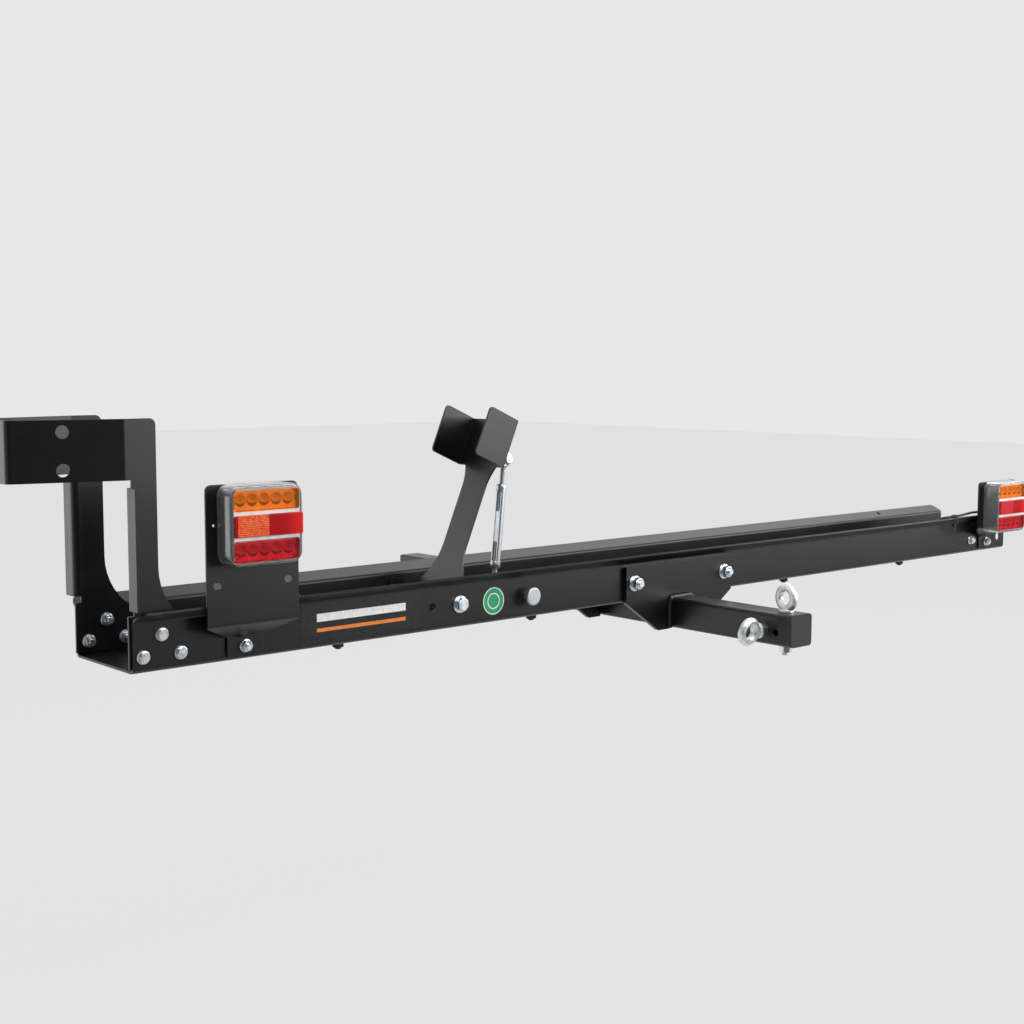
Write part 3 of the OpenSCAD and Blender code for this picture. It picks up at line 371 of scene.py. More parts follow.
@dataclass(frozen=True)
class ReflexPlastic(Finish):
    """Red reflex reflector: cube corners in rows in a honeycomb, whose cell colours are a painted reflection of the
    light they send back, beside a plain deep red field.
    """

    centre_x_mm: float
    # Painted reflection: the two cell colours stand for light that the cube corners send back
    glint_cell: str = "#ff9a5c"
    second_glint_cell: str = "#f85a30"
    seam: str = "#b41410"
    deep: str = "#a80a14"
    end: str = "#d21f22"
    # Cube corners of such a reflector are about 2.4 mm wide
    cell_mm: float = 2.6
    seam_mm: float = 0.42
    # A honeycomb's rows lie closer than its cells are wide, by the cosine of 30 degrees
    row_share: float = 0.87
    # Along the channel from the lamp's middle: the honeycomb, and where the deep red turns brighter
    honeycomb_mm: Pair = (-43.5, 1.0)
    end_mm: Pair = (26.0, 46.0)

    def dress(self, tree: Tree) -> Socket:
        """Honeycomb on the left part, deep red on the right, brighter towards the right end.

        Args:
            tree: Node tree of the material.

        Returns:
            The shader's output.
        """
        middle = (self.centre_x_mm - PIN_CENTRE[0]) * MM
        centred = add_node(tree, "Mapping", {"Vector": add_node(tree, "TexCoord").outputs["Object"],
                                             "Location": (-middle, 0.0, 0.0)}).outputs["Vector"]
        turned = add_node(tree, "Mapping", {"Vector": centred, "Rotation": (math.radians(-90), 0.0, 0.0)})
        cells = add_node(tree, "TexBrick", {
            "Vector": turned.outputs["Vector"], "Color1": linear(self.glint_cell), "Color2": linear(self.second_glint_cell),
            "Mortar": linear(self.seam), "Scale": 1 / MM, "Mortar Size": self.seam_mm, "Mortar Smooth": 0.5,
            "Brick Width": self.cell_mm, "Row Height": self.cell_mm * self.row_share})
        along = add_node(tree, "SeparateXYZ", {"Vector": centred}).outputs["X"]
        to_end = mapped(tree, along, *(edge * MM for edge in self.end_mm))
        inside = calculate(tree, "MULTIPLY", calculate(tree, "GREATER_THAN", along, self.honeycomb_mm[0] * MM),
                           calculate(tree, "LESS_THAN", along, self.honeycomb_mm[1] * MM))
        colour = add_node(tree, "Mix", {0: inside, 6: self.between(tree, to_end, self.deep, self.end, (0.0, 1.0)),
                                        7: cells.outputs["Color"]}, data_type="RGBA")
        return add_node(tree, "BsdfPrincipled", {
            "Base Color": colour.outputs[2], "Roughness": 0.1, "IOR": PLASTIC_INDEX, "Specular IOR Level": 0.2,
            "Normal": self.relief(tree, cells.outputs["Fac"], 0.1, 0.3)}).outputs["BSDF"]


@dataclass(frozen=True)
class MetallisedCups(Finish):
    """Vacuum-metallised plastic: silvery cups, each with a painted dark crescent on the lower left (a painted
    reflection of the inside) beside a painted highlight disc.
    """

    centre_x_mm: float
    centre_z_mm: float
    pitch_mm: float = 17.5
    row_mm: float = 32.0
    silver: str = "#e4e6e8"
    # Dark of the painted reflection in each cup
    painted_reflection_shade: str = "#0c0b0a"
    # Radii of the cup and of the painted highlight disc in it, and the widths over which their edges fade
    cup_mm: float = 8.2
    highlight_disc_mm: float = 5.8
    cup_fade_mm: Pair = (-0.6, 0.2)
    highlight_fade_mm: float = 1.4
    # Where the painted highlight disc lies from the cup's middle
    highlight_at_mm: Pair = (3.0, 2.2)

    def dress(self, tree: Tree) -> Socket:
        """Silver, with a painted dark reflection inside the cup's circle and outside the painted highlight disc,
        repeated with the cups' pitch.

        Args:
            tree: Node tree of the material.

        Returns:
            The shader's output.
        """
        place = add_node(tree, "SeparateXYZ", {"Vector": add_node(tree, "TexCoord").outputs["Object"]})
        local = add_node(tree, "CombineXYZ")
        for axis, middle, pitch in (("X", self.centre_x_mm - PIN_CENTRE[0], self.pitch_mm),
                                    ("Z", self.centre_z_mm - PIN_CENTRE[2], self.row_mm)):
            shifted = calculate(tree, "SUBTRACT", place.outputs[axis], middle * MM)
            tree.links.new(calculate(tree, "WRAP", shifted, pitch / 2 * MM, -pitch / 2 * MM), local.inputs[axis])
        x, z = self.highlight_at_mm
        far = add_node(tree, "VectorMath", {0: local.outputs[0]}, operation="LENGTH").outputs["Value"]
        near = add_node(tree, "VectorMath", {0: local.outputs[0], 1: (x * MM, 0.0, z * MM)},
                        operation="DISTANCE").outputs["Value"]
        in_cup = mapped(tree, far, *((self.cup_mm + fade) * MM for fade in self.cup_fade_mm), 1.0, 0.0)
        off_disc = mapped(tree, near, self.highlight_disc_mm * MM, (self.highlight_disc_mm + self.highlight_fade_mm) * MM)
        # Painted dark reflection: each cup's circle less its painted highlight disc
        dark = calculate(tree, "MULTIPLY", in_cup, off_disc)
        return add_node(tree, "BsdfPrincipled", {
            "Base Color": self.between(tree, dark, self.silver, self.painted_reflection_shade, (0.0, 1.0)),
            "Metallic": 0.25, "Roughness": 0.3}).outputs["BSDF"]


BLACK_COAT = PowderCoat("black_powder_coat_on_steel", "black_powder_coat")
BRIGHT_ZINC = PlatedSteel("bright_zinc_plate", "bright_zinc")
GALVANISED = PlatedSteel("galvanised_steel", "galvanised_steel", "#9aa1a7", "#bcc2c6", (0.46, 0.6),
                         cloud_mm=3.0, grain_mm=0.9, grain_height_mm=0.05)
FORGED_ZINC = PlatedSteel("zinc_plated_forging", "bright_zinc", "#d4d7d8", "#f4f5f5", (0.42, 0.58),
                          cloud_mm=4.0, grain_mm=1.6, grain_height_mm=0.1)
BLACK_ZINC = PlatedSteel("black_zinc_plate", "black_zinc", "#2c2d30", "#45474a", (0.35, 0.5))
NYLON = Moulded("black_nylon", "black_nylon", "#141415", "#1f2022", (0.38, 0.5))
RUBBER = Moulded("black_pvc_sheath", "black_rubber", "#121213", "#1c1d1e", (0.42, 0.55), grain_mm=1.2)
LAMP_HOUSING = Moulded("grained_abs_housing", "lamp_housing", "#0e1012", "#3a3d41", (0.42, 0.6),
                       grain_mm=2.0, grain_height_mm=0.15)
BOARD = Moulded("solder_mask_board", "lamp_board", "#12402a", "#1c5a3c", (0.25, 0.4), grain_mm=3.0)
DIODE = Moulded("epoxy_diode", "lamp_diodes", "#e8e2c0", "#f6f1d8", (0.1, 0.2))
CLEAR_LENS = TintedPlastic("clear_polycarbonate", "clear_lens", "#eef1f3", "#fbfcfd", "#eef2f4", transmission=0.95,
                           roughness=0.08, specular=0.06, flute_mm=3.0, flute_height_mm=0.06)
FROSTED_LENS = TintedPlastic("frosted_polycarbonate", "clear_lens", "#e2e6e8", "#f2f5f6", "#eef2f4",
                             transmission=0.25, roughness=0.22, specular=0.3, flute_mm=3.0, flute_height_mm=0.06)
AMBER_LENS = TintedPlastic("amber_polycarbonate", "amber_lens", "#ffa646", "#ffbe64", "#ffc068", transmission=0.9,
                           roughness=0.04, specular=0.12)
TAIL_LENS = TintedPlastic("red_polycarbonate", "red_lens", "#e04a56", "#f0686e", "#f27070", transmission=0.9,
                          roughness=0.04, specular=0.12)
LABEL_FILM = Moulded("black_label_film", "label_black", "#121315", "#1b1c1f", (0.28, 0.36), 6.0, 0.02)
WHITE_PRINT = Moulded("white_label_print", "label_black", "#dcdcda", "#eeeeec", (0.3, 0.4), 4.0, 0.01)
ORANGE_PRINT = Moulded("orange_label_print", "label_black", "#d8752a", "#e98a3a", (0.3, 0.4), 4.0, 0.01)
GREEN_FILM = Moulded("green_label_film", "label_green", "#1c8a5c", "#28a070", (0.28, 0.36), 6.0, 0.02)


# Grids

# How much further in than twice its rim a plate's flat starts
FLAT_MARGIN = 0.4


@dataclass
class Patch:
    """A grid of points in millimetres, and which of its edges join their opposites."""

    points: Array
    wrap_rows: bool = False
    wrap_columns: bool = True
    finish: int = 0

    def faces(self, first: int) -> NDArray[np.int64]:
        """Quads between neighbouring rows and columns, numbered from first.

        Args:
            first: Number of the patch's first point in the mesh.

        Returns:
            Four point numbers for each face.
        """
        rows, columns = self.points.shape[:2]
        index = first + np.arange(rows * columns).reshape(rows, columns)
        if self.wrap_rows:
            index = np.vstack((index, index[:1]))
        if self.wrap_columns:
            index = np.hstack((index, index[:, :1]))
        return np.stack((index[:-1, :-1], index[:-1, 1:], index[1:, 1:], index[1:, :-1]), -1).reshape(-1, 4)

    def moved(self, place: Place) -> Patch:
        """The patch in the channel's frame, from a local one."""
        return Patch(place.points(self.points), self.wrap_rows, self.wrap_columns, self.finish)


@dataclass(frozen=True)
class Place:
    """A local frame: where its origin is and which ways its three axes point."""

    origin: Vector3
    x_axis: Vector3 = (1.0, 0.0, 0.0)
    z_axis: Vector3 = (0.0, 0.0, 1.0)

    def points(self, local: Array) -> Array:
        """Local points in the channel's frame: origin plus x, y and z times the axes."""
        x, z = np.array(self.x_axis), np.array(self.z_axis)
        return np.array(self.origin) + local @ np.stack((x, np.cross(z, x), z))


def write_piece(name: str, patches: list[Patch], finishes: list[Finish], *replaces: str, body: Body = Body.ROOT,
                sharp_degrees: float = 35.0) -> None:
    """Writes patches as one closed mesh in the row's frame, with its finishes as materials, riding on its body.

    Args:
        name: Name of the piece.
        patches: Grids in the channel's frame.
        finishes: Finishes by the patches' numbers.
        replaces: CAD nodes that the piece stands for.
        body: Body that carries the piece.
        sharp_degrees: Edges sharper than this stay sharp.
    """
    counts = np.cumsum([0] + [p.points.shape[0] * p.points.shape[1] for p in patches])
    points = np.concatenate([p.points.reshape(-1, 3) for p in patches])
    faces = [p.faces(int(first)) for p, first in zip(patches, counts)]
    mesh = bpy.data.meshes.new(name)
    mesh.from_pydata(((points - PIN_CENTRE) * MM).tolist(), [], np.concatenate(faces).tolist())
    numbers = np.concatenate([np.full(len(f), p.finish) for p, f in zip(patches, faces)])
    mesh.polygons.foreach_set("material_index", numbers.astype(np.int32))
    shape = bmesh.new()
    shape.from_mesh(mesh)
    bmesh.ops.remove_doubles(shape, verts=shape.verts, dist=WELD_DISTANCE)
    bmesh.ops.recalc_face_normals(shape, faces=shape.faces)
    shape.to_mesh(mesh)
    shape.free()
    mesh.shade_smooth()
    mesh.set_sharp_from_angle(angle=math.radians(sharp_degrees))
    for finish in finishes:
        mesh.materials.append(finish.material())
    piece = bpy.data.objects.new(name, mesh)
    bpy.context.scene.collection.objects.link(piece)
    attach(piece, body.value)
    if replaces:
        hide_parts(*replaces)
    LOG.info("%s: %d faces on %s", name, len(mesh.polygons), body.value)


def turn(columns: int) -> Array:
    """Angles of a full turn, without the last."""
    return np.arange(columns) * FULL_TURN / columns


def on_height(flat: Array, height: float | Array) -> Array:
    """Points in a plane with their height as third coordinate."""
    return np.concatenate((flat, np.broadcast_to(np.asarray(height, float).reshape(-1, 1), (len(flat), 1))), 1)


def capped(points: Array, ends: Array | None = None) -> Array:
    """Grid with one more row at each end, drawn together to a given point or to the middle of the end row.

    Args:
        points: Grid of points.
        ends: The first and the last point, or nothing for the rows' middles.

    Returns:
        The grid with two more rows.
    """
    poles = points[[0, -1]].mean(1) if ends is None else ends
    first, last = np.broadcast_to(poles[:, None], (2, *points.shape[1:]))
    return np.concatenate((first[None], points, last[None]))


def along(path: Array) -> Array:
    """Unit way of a path at each of its points."""
    way = np.gradient(path, axis=0)
    return way / np.linalg.norm(way, axis=1, keepdims=True)


def travelled(path: Array) -> Array:
    """Length of a path up to each of its points."""
    return np.concatenate(((0.0,), np.cumsum(np.linalg.norm(np.diff(path, axis=0), axis=1))))


def revolved(profile: Array, columns: int = 40) -> Patch:
    """Turns a profile of radius and height about Z: x = r cos a, y = r sin a, z = height.

    Args:
        profile: Rows of radius and height.
        columns: Points in a turn.

    Returns:
        The patch round Z.
    """
    angle = turn(columns)
    radius, height = profile[:, :1], np.repeat(profile[:, 1:], columns, 1)
    return Patch(np.stack((radius * np.cos(angle), radius * np.sin(angle), height), -1))


def fillet(centre: Pair, radius: float, start: float, end: float, steps: int = 5) -> Array:
    """Points of an arc from start to end degrees about a centre."""
    angle = np.radians(np.linspace(start, end, steps + 1))
    return np.array(centre) + radius * np.stack((np.cos(angle), np.sin(angle)), 1)


def rounded_loop(width: float, height: float, radius: float, corner: int = 8, side: int = 8) -> tuple[Array, Array]:
    """Rounded rectangle, anticlockwise: four quarter circles joined by straight sides.

    Args:
        width: Whole width.
        height: Whole height.
        radius: Corner radius.
        corner: Steps in each corner.
        side: Points inside each side.

    Returns:
        Points and outward normals; the loop offset by e is the points minus e times the normals.
    """
    angle = (np.arange(4)[:, None] * 90 + np.linspace(0, 90, corner + 1)) * math.pi / 180
    normals = np.stack((np.cos(angle), np.sin(angle)), -1)
    signs = np.array(((1, 1), (-1, 1), (-1, -1), (1, -1)))
    centres = signs * (width / 2 - radius, height / 2 - radius)
    arcs = centres[:, None, :] + radius * normals
    share = np.linspace(0, 1, side + 2)[1:-1, None]
    sides = arcs[:, -1:] * (1 - share) + np.roll(arcs, -1, 0)[:, :1] * share
    held = np.repeat(normals[:, -1:], side, 1)
    return (np.concatenate((arcs, sides), 1).reshape(-1, 2), np.concatenate((normals, held), 1).reshape(-1, 2))


def smooth_route(corners: Array, steps: int) -> Array:
    """Curve through points: between two of them a cubic whose end slopes halve the angle of its neighbours.

    Args:
        corners: Points that the curve passes.
        steps: Steps in each span.

    Returns:
        Points of the curve.
    """
    leg = np.diff(corners, axis=0)
    reach = np.linalg.norm(leg, axis=1, keepdims=True)
    way = leg / reach
    mean = way[:-1] + way[1:]
    mean /= np.linalg.norm(mean, axis=1, keepdims=True)
    slope = np.vstack((way[:1], mean, way[-1:]))
    t = (np.arange(steps) / steps)[None, :, None]
    a, b = corners[:-1, None], corners[1:, None]
    leave, arrive = slope[:-1, None] * reach[:, None], slope[1:, None] * reach[:, None]
    curve = ((2 * t**3 - 3 * t**2 + 1) * a + (t**3 - 2 * t**2 + t) * leave
             + (3 * t**2 - 2 * t**3) * b + (t**3 - t**2) * arrive)
    return np.vstack((curve.reshape(-1, 3), corners[-1:]))


def carried(path: Array, section: Array, across: Vector3, closed: bool = False, scale: Array | None = None) -> Patch:
    """Carries a section along a path: point = path + u times side + v times normal.

    The side vector is the given way across, made square to the path, and the normal is square to both.

    Args:
        path: Points of the path.
        section: Loop of u and v.
        across: Way that u points, roughly square to the whole path.
        closed: Whether the path joins its own start.
        scale: Size of the section at each point of the path.

    Returns:
        The patch, with its ends drawn together to a point where the path is open.
    """
    before, after = np.roll(path, 1, 0), np.roll(path, -1, 0)
    if not closed:
        before[0], after[-1] = path[0], path[-1]
    way = after - before
    way /= np.linalg.norm(way, axis=1, keepdims=True)
    side = np.array(across) - (way @ np.array(across))[:, None] * way
    side /= np.linalg.norm(side, axis=1, keepdims=True)
    normal = np.cross(way, side)
    size = np.ones(len(path)) if scale is None else scale
    local = section[None, :, :] * size[:, None, None]
    points = path[:, None] + local[..., :1] * side[:, None] + local[..., 1:] * normal[:, None]
    return Patch(points if closed else capped(points, path[[0, -1]]), wrap_rows=closed)


def slab(outline: Array, normals: Array, low: float, high: float, edge: float, edge_steps: int = 3) -> Patch:
    """Plate between two heights whose rims are quarter circles: each row is the outline offset along its normals.

    A first and a last row a little further in keep both faces flat under smooth shading.

    Args:
        outline: Loop of x and y.
        normals: Outward normals of the loop.
        low: Height of the lower face.
        high: Height of the upper face.
        edge: Radius of the rims.
        edge_steps: Steps in each rim.

    Returns:
        The closed patch, drawn together at the middle of both faces.
    """
    rise = np.radians(np.linspace(0, 90, edge_steps + 1))
    flat = 2 * edge + FLAT_MARGIN
    inset = np.concatenate(((flat,), edge * (1 - np.sin(rise)), edge * (1 - np.cos(rise)), (flat,)))
    height = np.concatenate(((low,), low + edge * (1 - np.cos(rise)), high - edge * (1 - np.sin(rise)), (high,)))
    rows = outline[None] - inset[:, None, None] * normals[None]
    return Patch(capped(np.concatenate((rows, np.repeat(height[:, None, None], len(outline), 1)), -1)))


# Fasteners


@dataclass(frozen=True)
class Thread:
    """Metric screw thread, drawn with this many rows to the pitch and columns to the turn."""

    diameter: float
    pitch: float
    steps: int = 8
    columns: int = 24
    # Depth of the groove over the pitch
    depth_share: float = 0.61
    # How far the ends' cone starts below the root
    tip_drop: float = 0.2

    def surface(self, start: float, end: float) -> Patch:
        """Threaded rod on Z between two heights.

        The radius is the major radius less the depth times a sawtooth of height over pitch less angle over a turn,
        and both ends are cut by a cone of 45 degrees.

        Args:
            start: Lower height.
            end: Upper height.

        Returns:
            The closed patch.
        """
        depth = self.depth_share * self.pitch
        height = np.linspace(start, end, max(3, int((end - start) / self.pitch * self.steps)))[:, None]
        angle = turn(self.columns)[None]
        phase = (height / self.pitch - angle / FULL_TURN) % 1
        cone = self.diameter / 2 - depth - self.tip_drop + np.minimum(height - start, end - height)
        radius = np.minimum(self.diameter / 2 - depth * np.abs(2 * phase - 1), cone)
        points = np.stack((radius * np.cos(angle), radius * np.sin(angle), np.repeat(height, self.columns, 1)), -1)
        return Patch(capped(points))


@dataclass(frozen=True)
class FlangedFastener:
    """Hexagon bolt and nut with a flange, of one thread."""

    thread: Thread
    across_flats: float
    flange: float
    height: float
    # A head is lower than its nut
    head_share: float = 0.75
    # How much the forging takes off the corners
    blunt: float = 0.25
    columns: int = 72

    @property
    def corner(self) -> float:
        """Radius of the hexagon's corners."""
        return self.across_flats / 2 / math.cos(math.pi / 6)

    def hexagon(self) -> Array:
        """Radius of the hexagon over a full turn: half the width over the cosine of the angle from a flat's middle."""
        off_flat = turn(self.columns) % (math.pi / 3) - math.pi / 6
        return np.minimum(self.across_flats / 2 / np.cos(off_flat), self.corner - self.blunt)

    def stack(self, rows: list[tuple[float, float, float]]) -> Patch:
        """Rows of radius, height and share of the hexagon, where share 0 is a circle and 1 the hexagon.

        The hexagon's chamfer is a cone: a row's radius is the smaller of the hexagon and that row's own radius.

        Args:
            rows: Radius, height and share of each row.

        Returns:
            The patch round Z.
        """
        table = np.array(rows)
        circle, hexagon = table[:, :1], np.minimum(self.hexagon()[None], table[:, :1])
        radius = circle + (hexagon - circle) * table[:, 2:]
        angle = turn(self.columns)[None]
        height = np.repeat(table[:, 1:2], self.columns, 1)
        return Patch(np.stack((radius * np.cos(angle), radius * np.sin(angle), height), -1))

    def outside(self, top: float) -> list[tuple[float, float, float]]:
        """Rows from the flange's rim up its slope and the hexagon to the chamfered top, at this height.

        Args:
            top: Height of the top.

        Returns:
            Rows for stack.
        """
        rim, corner = self.flange / 2, self.corner
        return [(rim - 0.5, 0.0, 0.0), (rim, 0.4, 0.0), (rim, 1.1, 0.0), (rim - 0.4, 1.6, 0.0),
                (corner + 0.6, 2.7, 0.0), (corner, 3.1, 1.0), (corner, top - 1.7, 1.0),
                (corner - 0.15, top - 1.2, 1.0), (corner - 0.5, top - 0.75, 1.0), (corner - 0.95, top - 0.35, 1.0),
                (self.across_flats / 2 - 0.4, top, 1.0)]

    def head(self) -> Patch:
        """Bolt head on Z = 0 with a flat top.

        Returns:
            The closed patch.
        """
        top = self.head_share * self.height
        return self.stack([(0.0, 0.0, 0.0)] + self.outside(top)
                          + [(self.across_flats / 2 - 1.0, top, 1.0), (0.0, top, 0.0)])

    def nut(self) -> Patch:
        """Nut on Z = 0 with a countersunk bore.

        Returns:
            The patch, closed through its bore.
        """
        bore = self.thread.diameter / 2 + 0.05
        rows = [(bore + 0.6, 0.0, 0.0)] + self.outside(self.height) + [
            (bore + 1.0, self.height, 0.0), (bore, self.height - 1.0, 0.0), (bore, 1.0, 0.0)]
        return Patch(self.stack(rows).points, wrap_rows=True)

    def shank(self, length: float, threaded: float) -> list[Patch]:
        """Plain shank below Z = 0, ending in a threaded stretch.

        Args:
            length: Length below the head.
            threaded: Length of the thread at its end.

        Returns:
            The plain and the threaded stretch.
        """
        radius = self.thread.diameter / 2
        plain = np.array(((0.0, 0.5), (radius, 0.5), (radius, -length + threaded),
                          (radius - 0.8, -length + threaded - 0.8), (0.0, -length + threaded - 0.8)))
        return [revolved(plain, 32), self.thread.surface(-length, -length + threaded)]

    def bolt(self, length: float) -> list[Patch]:
        """Head with its shank, threaded for the nut's height and what shows beyond it."""
        return [self.head()] + self.shank(length, min(length - 1.0, 2.2 * self.height))


M8 = FlangedFastener(Thread(8.0, 1.25), 13.0, 18.0, 8.0)
M10 = FlangedFastener(Thread(10.0, 1.5), 15.0, 22.0, 10.0)
M12 = FlangedFastener(Thread(12.0, 1.75), 18.0, 26.0, 12.0)
# How far a long bolt shows beyond its nut; a short one shows half of it
TIP = 5.0


def turned_place(origin: Vector3, z_axis: Vector3) -> Place:
    """Place whose Z points a given way, turned about it by an angle that its own position gives.

    Real nuts stop wherever they are tight, so no two stand alike.

    Args:
        origin: Where the fastener sits.
        z_axis: Which way it points.

    Returns:
        The place, with its X turned.
    """
    z = np.array(z_axis)
    start = np.array((0.0, 0.0, 1.0)) if abs(z[2]) < 0.9 else np.array((1.0, 0.0, 0.0))
    start = start - (start @ z) * z
    start /= np.linalg.norm(start)
    angle = math.radians((origin[0] * 7.3 + origin[2] * 13.7) % 60)
    x = start * math.cos(angle) + np.cross(z, start) * math.sin(angle)
    return Place(origin, tuple(x), z_axis)


def placed(patches: list[Patch], places: list[Place]) -> list[Patch]:
    """Copies of the patches at each place."""
    return [patch.moved(place) for place in places for patch in patches]


def on_walls(points: tuple[Pair, ...], out: float, inwards: bool = False) -> list[Place]:
    """Places of fasteners on both walls.

    Args:
        points: X and Z of each.
        out: Distance beyond the wall's outer face.
        inwards: Whether they point into the channel.

    Returns:
        The near wall's places, then the far wall's.
    """
    sign = -1 if inwards else 1
    return [turned_place((x, side.face(out), z), (0.0, float(sign * side.value), 0.0))
            for side in Side for x, z in points]


def write_fasteners(stem: str, size: FlangedFastener, length: float, heads: list[Place], nuts: list[Place],
                    finish: Finish = BRIGHT_ZINC, body: Body = Body.ROOT, plural: str = "s") -> None:
    """Writes the bolts and then the nuts of a joint, in the place of their two CAD nodes.

    Args:
        stem: Start of the nodes' names.
        size: Kind of bolt and nut.
        length: Length of the bolts under their heads.
        heads: Places of the heads.
        nuts: Places of the nuts.
        finish: Plating.
        body: Body that carries them.
        plural: What the nodes' names end in.
    """
    for word, patches, places in (("bolt", size.bolt(length), heads), ("nut", [size.nut()], nuts)):
        node = f"{stem}_{word}{plural}"
        write_piece(f"{node}_machined", placed(patches, places), [finish], node, body=body)


# Sub-assemblies


@dataclass(frozen=True)
class FoldedSheets:
    """The laser-cut and folded sheets, the square tube and its plates, which keep their exact shape."""

    coated: tuple[str, ...] = ("track_channel", "wheel_chock", "hitch_tube", "saddle_plate_near",
                               "saddle_plate_far", "support_arm", "turnbuckle_lug", "left_lamp_bracket",
                               "right_lamp_bracket")
    moulded: tuple[str, ...] = ("tube_end_cap",)

    def dress(self, nodes: dict[str, bpy.types.Object]) -> None:
        """Gives each kept node its finish.

        Args:
            nodes: The frame's CAD nodes by name.
        """
        for names, finish in ((self.coated, BLACK_COAT), (self.moulded, NYLON)):
            for name in names:
                for slot in nodes[name].material_slots:
                    slot.material = finish.material()
                LOG.info("%s: kept, finished in %s", name, finish.name)


@dataclass(frozen=True)
class ChockFasteners:
    """Three bolts and nuts in each foot of the wheel chock."""

    places: tuple[Pair, ...] = ((14.0, 20.5), (40.0, 46.5), (66.0, 20.5))
    stack: float = 2 * SHEET

    def build(self) -> None:
        """Heads outside the walls, nuts inside the feet."""
        write_fasteners("chock", M8, self.stack + M8.height + TIP / 2, on_walls(self.places, 0.0),
                        on_walls(self.places, -self.stack, inwards=True))


@dataclass(frozen=True)
class HitchSaddle:
    """Welds, bolts and nuts that join the square tube's plates to the channel."""

    tube_x: float = 987.0
    tube: float = 50.0
    corner: float = 6.0
    plate: float = 8.0
    leg: float = 6.0
    bolt_pitch: float = 218.0
    bolt_z: float = 31.5
    # A machine-laid bead steps on by about 2.5 mm, and the coat flows over its ripples
    ripple: float = 2.5
    ripple_share: float = 0.015
    # Distance between the bead's rows, and how far it reaches into the tube
    step: float = 0.6
    sunk: float = 0.05
    # How full the bead's face is: powers under one crown it
    crown: float = 0.8

    def weld_path(self) -> Array:
        """Up one side of the tube, round its top corners and down the other side, in X and Z.

        Returns:
            Points of X from the tube's middle and Z.
        """
        half, corner = self.tube / 2, self.corner
        left = np.stack((np.full(50, -half), np.linspace(-self.tube, -corner, 50)), 1)
        turn_up = fillet((-half + corner, -corner), corner, 180, 90, 10)[1:]
        across = np.stack((np.linspace(-half + corner, half - corner, 46), np.zeros(46)), 1)[1:]
        turn_down = fillet((half - corner, -corner), corner, 90, 0, 10)[1:]
        right = left[::-1] * (-1, 1)
        return np.concatenate((left, turn_up, across, turn_down, right[1:]))

    def weld(self, side: Side) -> Patch:
        """Fillet bead: a quarter circle carried round the tube whose leg swells and shrinks with each ripple.

        The leg is the nominal one times 1 + the ripple's share times the sine of the way along over the ripple.

        Args:
            side: Wall whose plate the bead is on.

        Returns:
            The closed patch.
        """
        path = self.weld_path()
        length = travelled(path)
        even = np.arange(0.0, length[-1], self.step)
        path = np.stack([np.interp(even, length, path[:, i]) for i in (0, 1)], 1)
        size = self.leg * (1 + self.ripple_share * np.sin(even / self.ripple * FULL_TURN))
        out = along(path)[:, ::-1] * (-1, 1)
        bulge = np.radians(np.linspace(0, 90, 9))
        # The toe on the tube, a slightly crowned face, the toe on the plate, and the root
        reach = np.append(np.sin(bulge) ** self.crown, 0.0)
        rise = np.append(np.cos(bulge) ** self.crown, 0.0)
        flat = path[:, None] + out[:, None] * (reach[None, :, None] * size[:, None, None] - self.sunk)
        y = side.face(self.plate + rise[None] * size[:, None])
        return Patch(capped(np.stack((flat[..., 0] + self.tube_x, y, flat[..., 1]), -1)))

    def build(self) -> None:
        """Beads on both plates, bolts with their heads inside the channel, nuts outside."""
        write_piece("saddle_weld_beads", [self.weld(side) for side in Side], [BLACK_COAT], "saddle_welds",
                    sharp_degrees=50)
        points = tuple((self.tube_x + sign * self.bolt_pitch / 2, self.bolt_z) for sign in (-1, 1))
        write_fasteners("saddle", M12, SHEET + self.plate + M12.height + TIP, on_walls(points, -SHEET, inwards=True),
                        on_walls(points, self.plate))


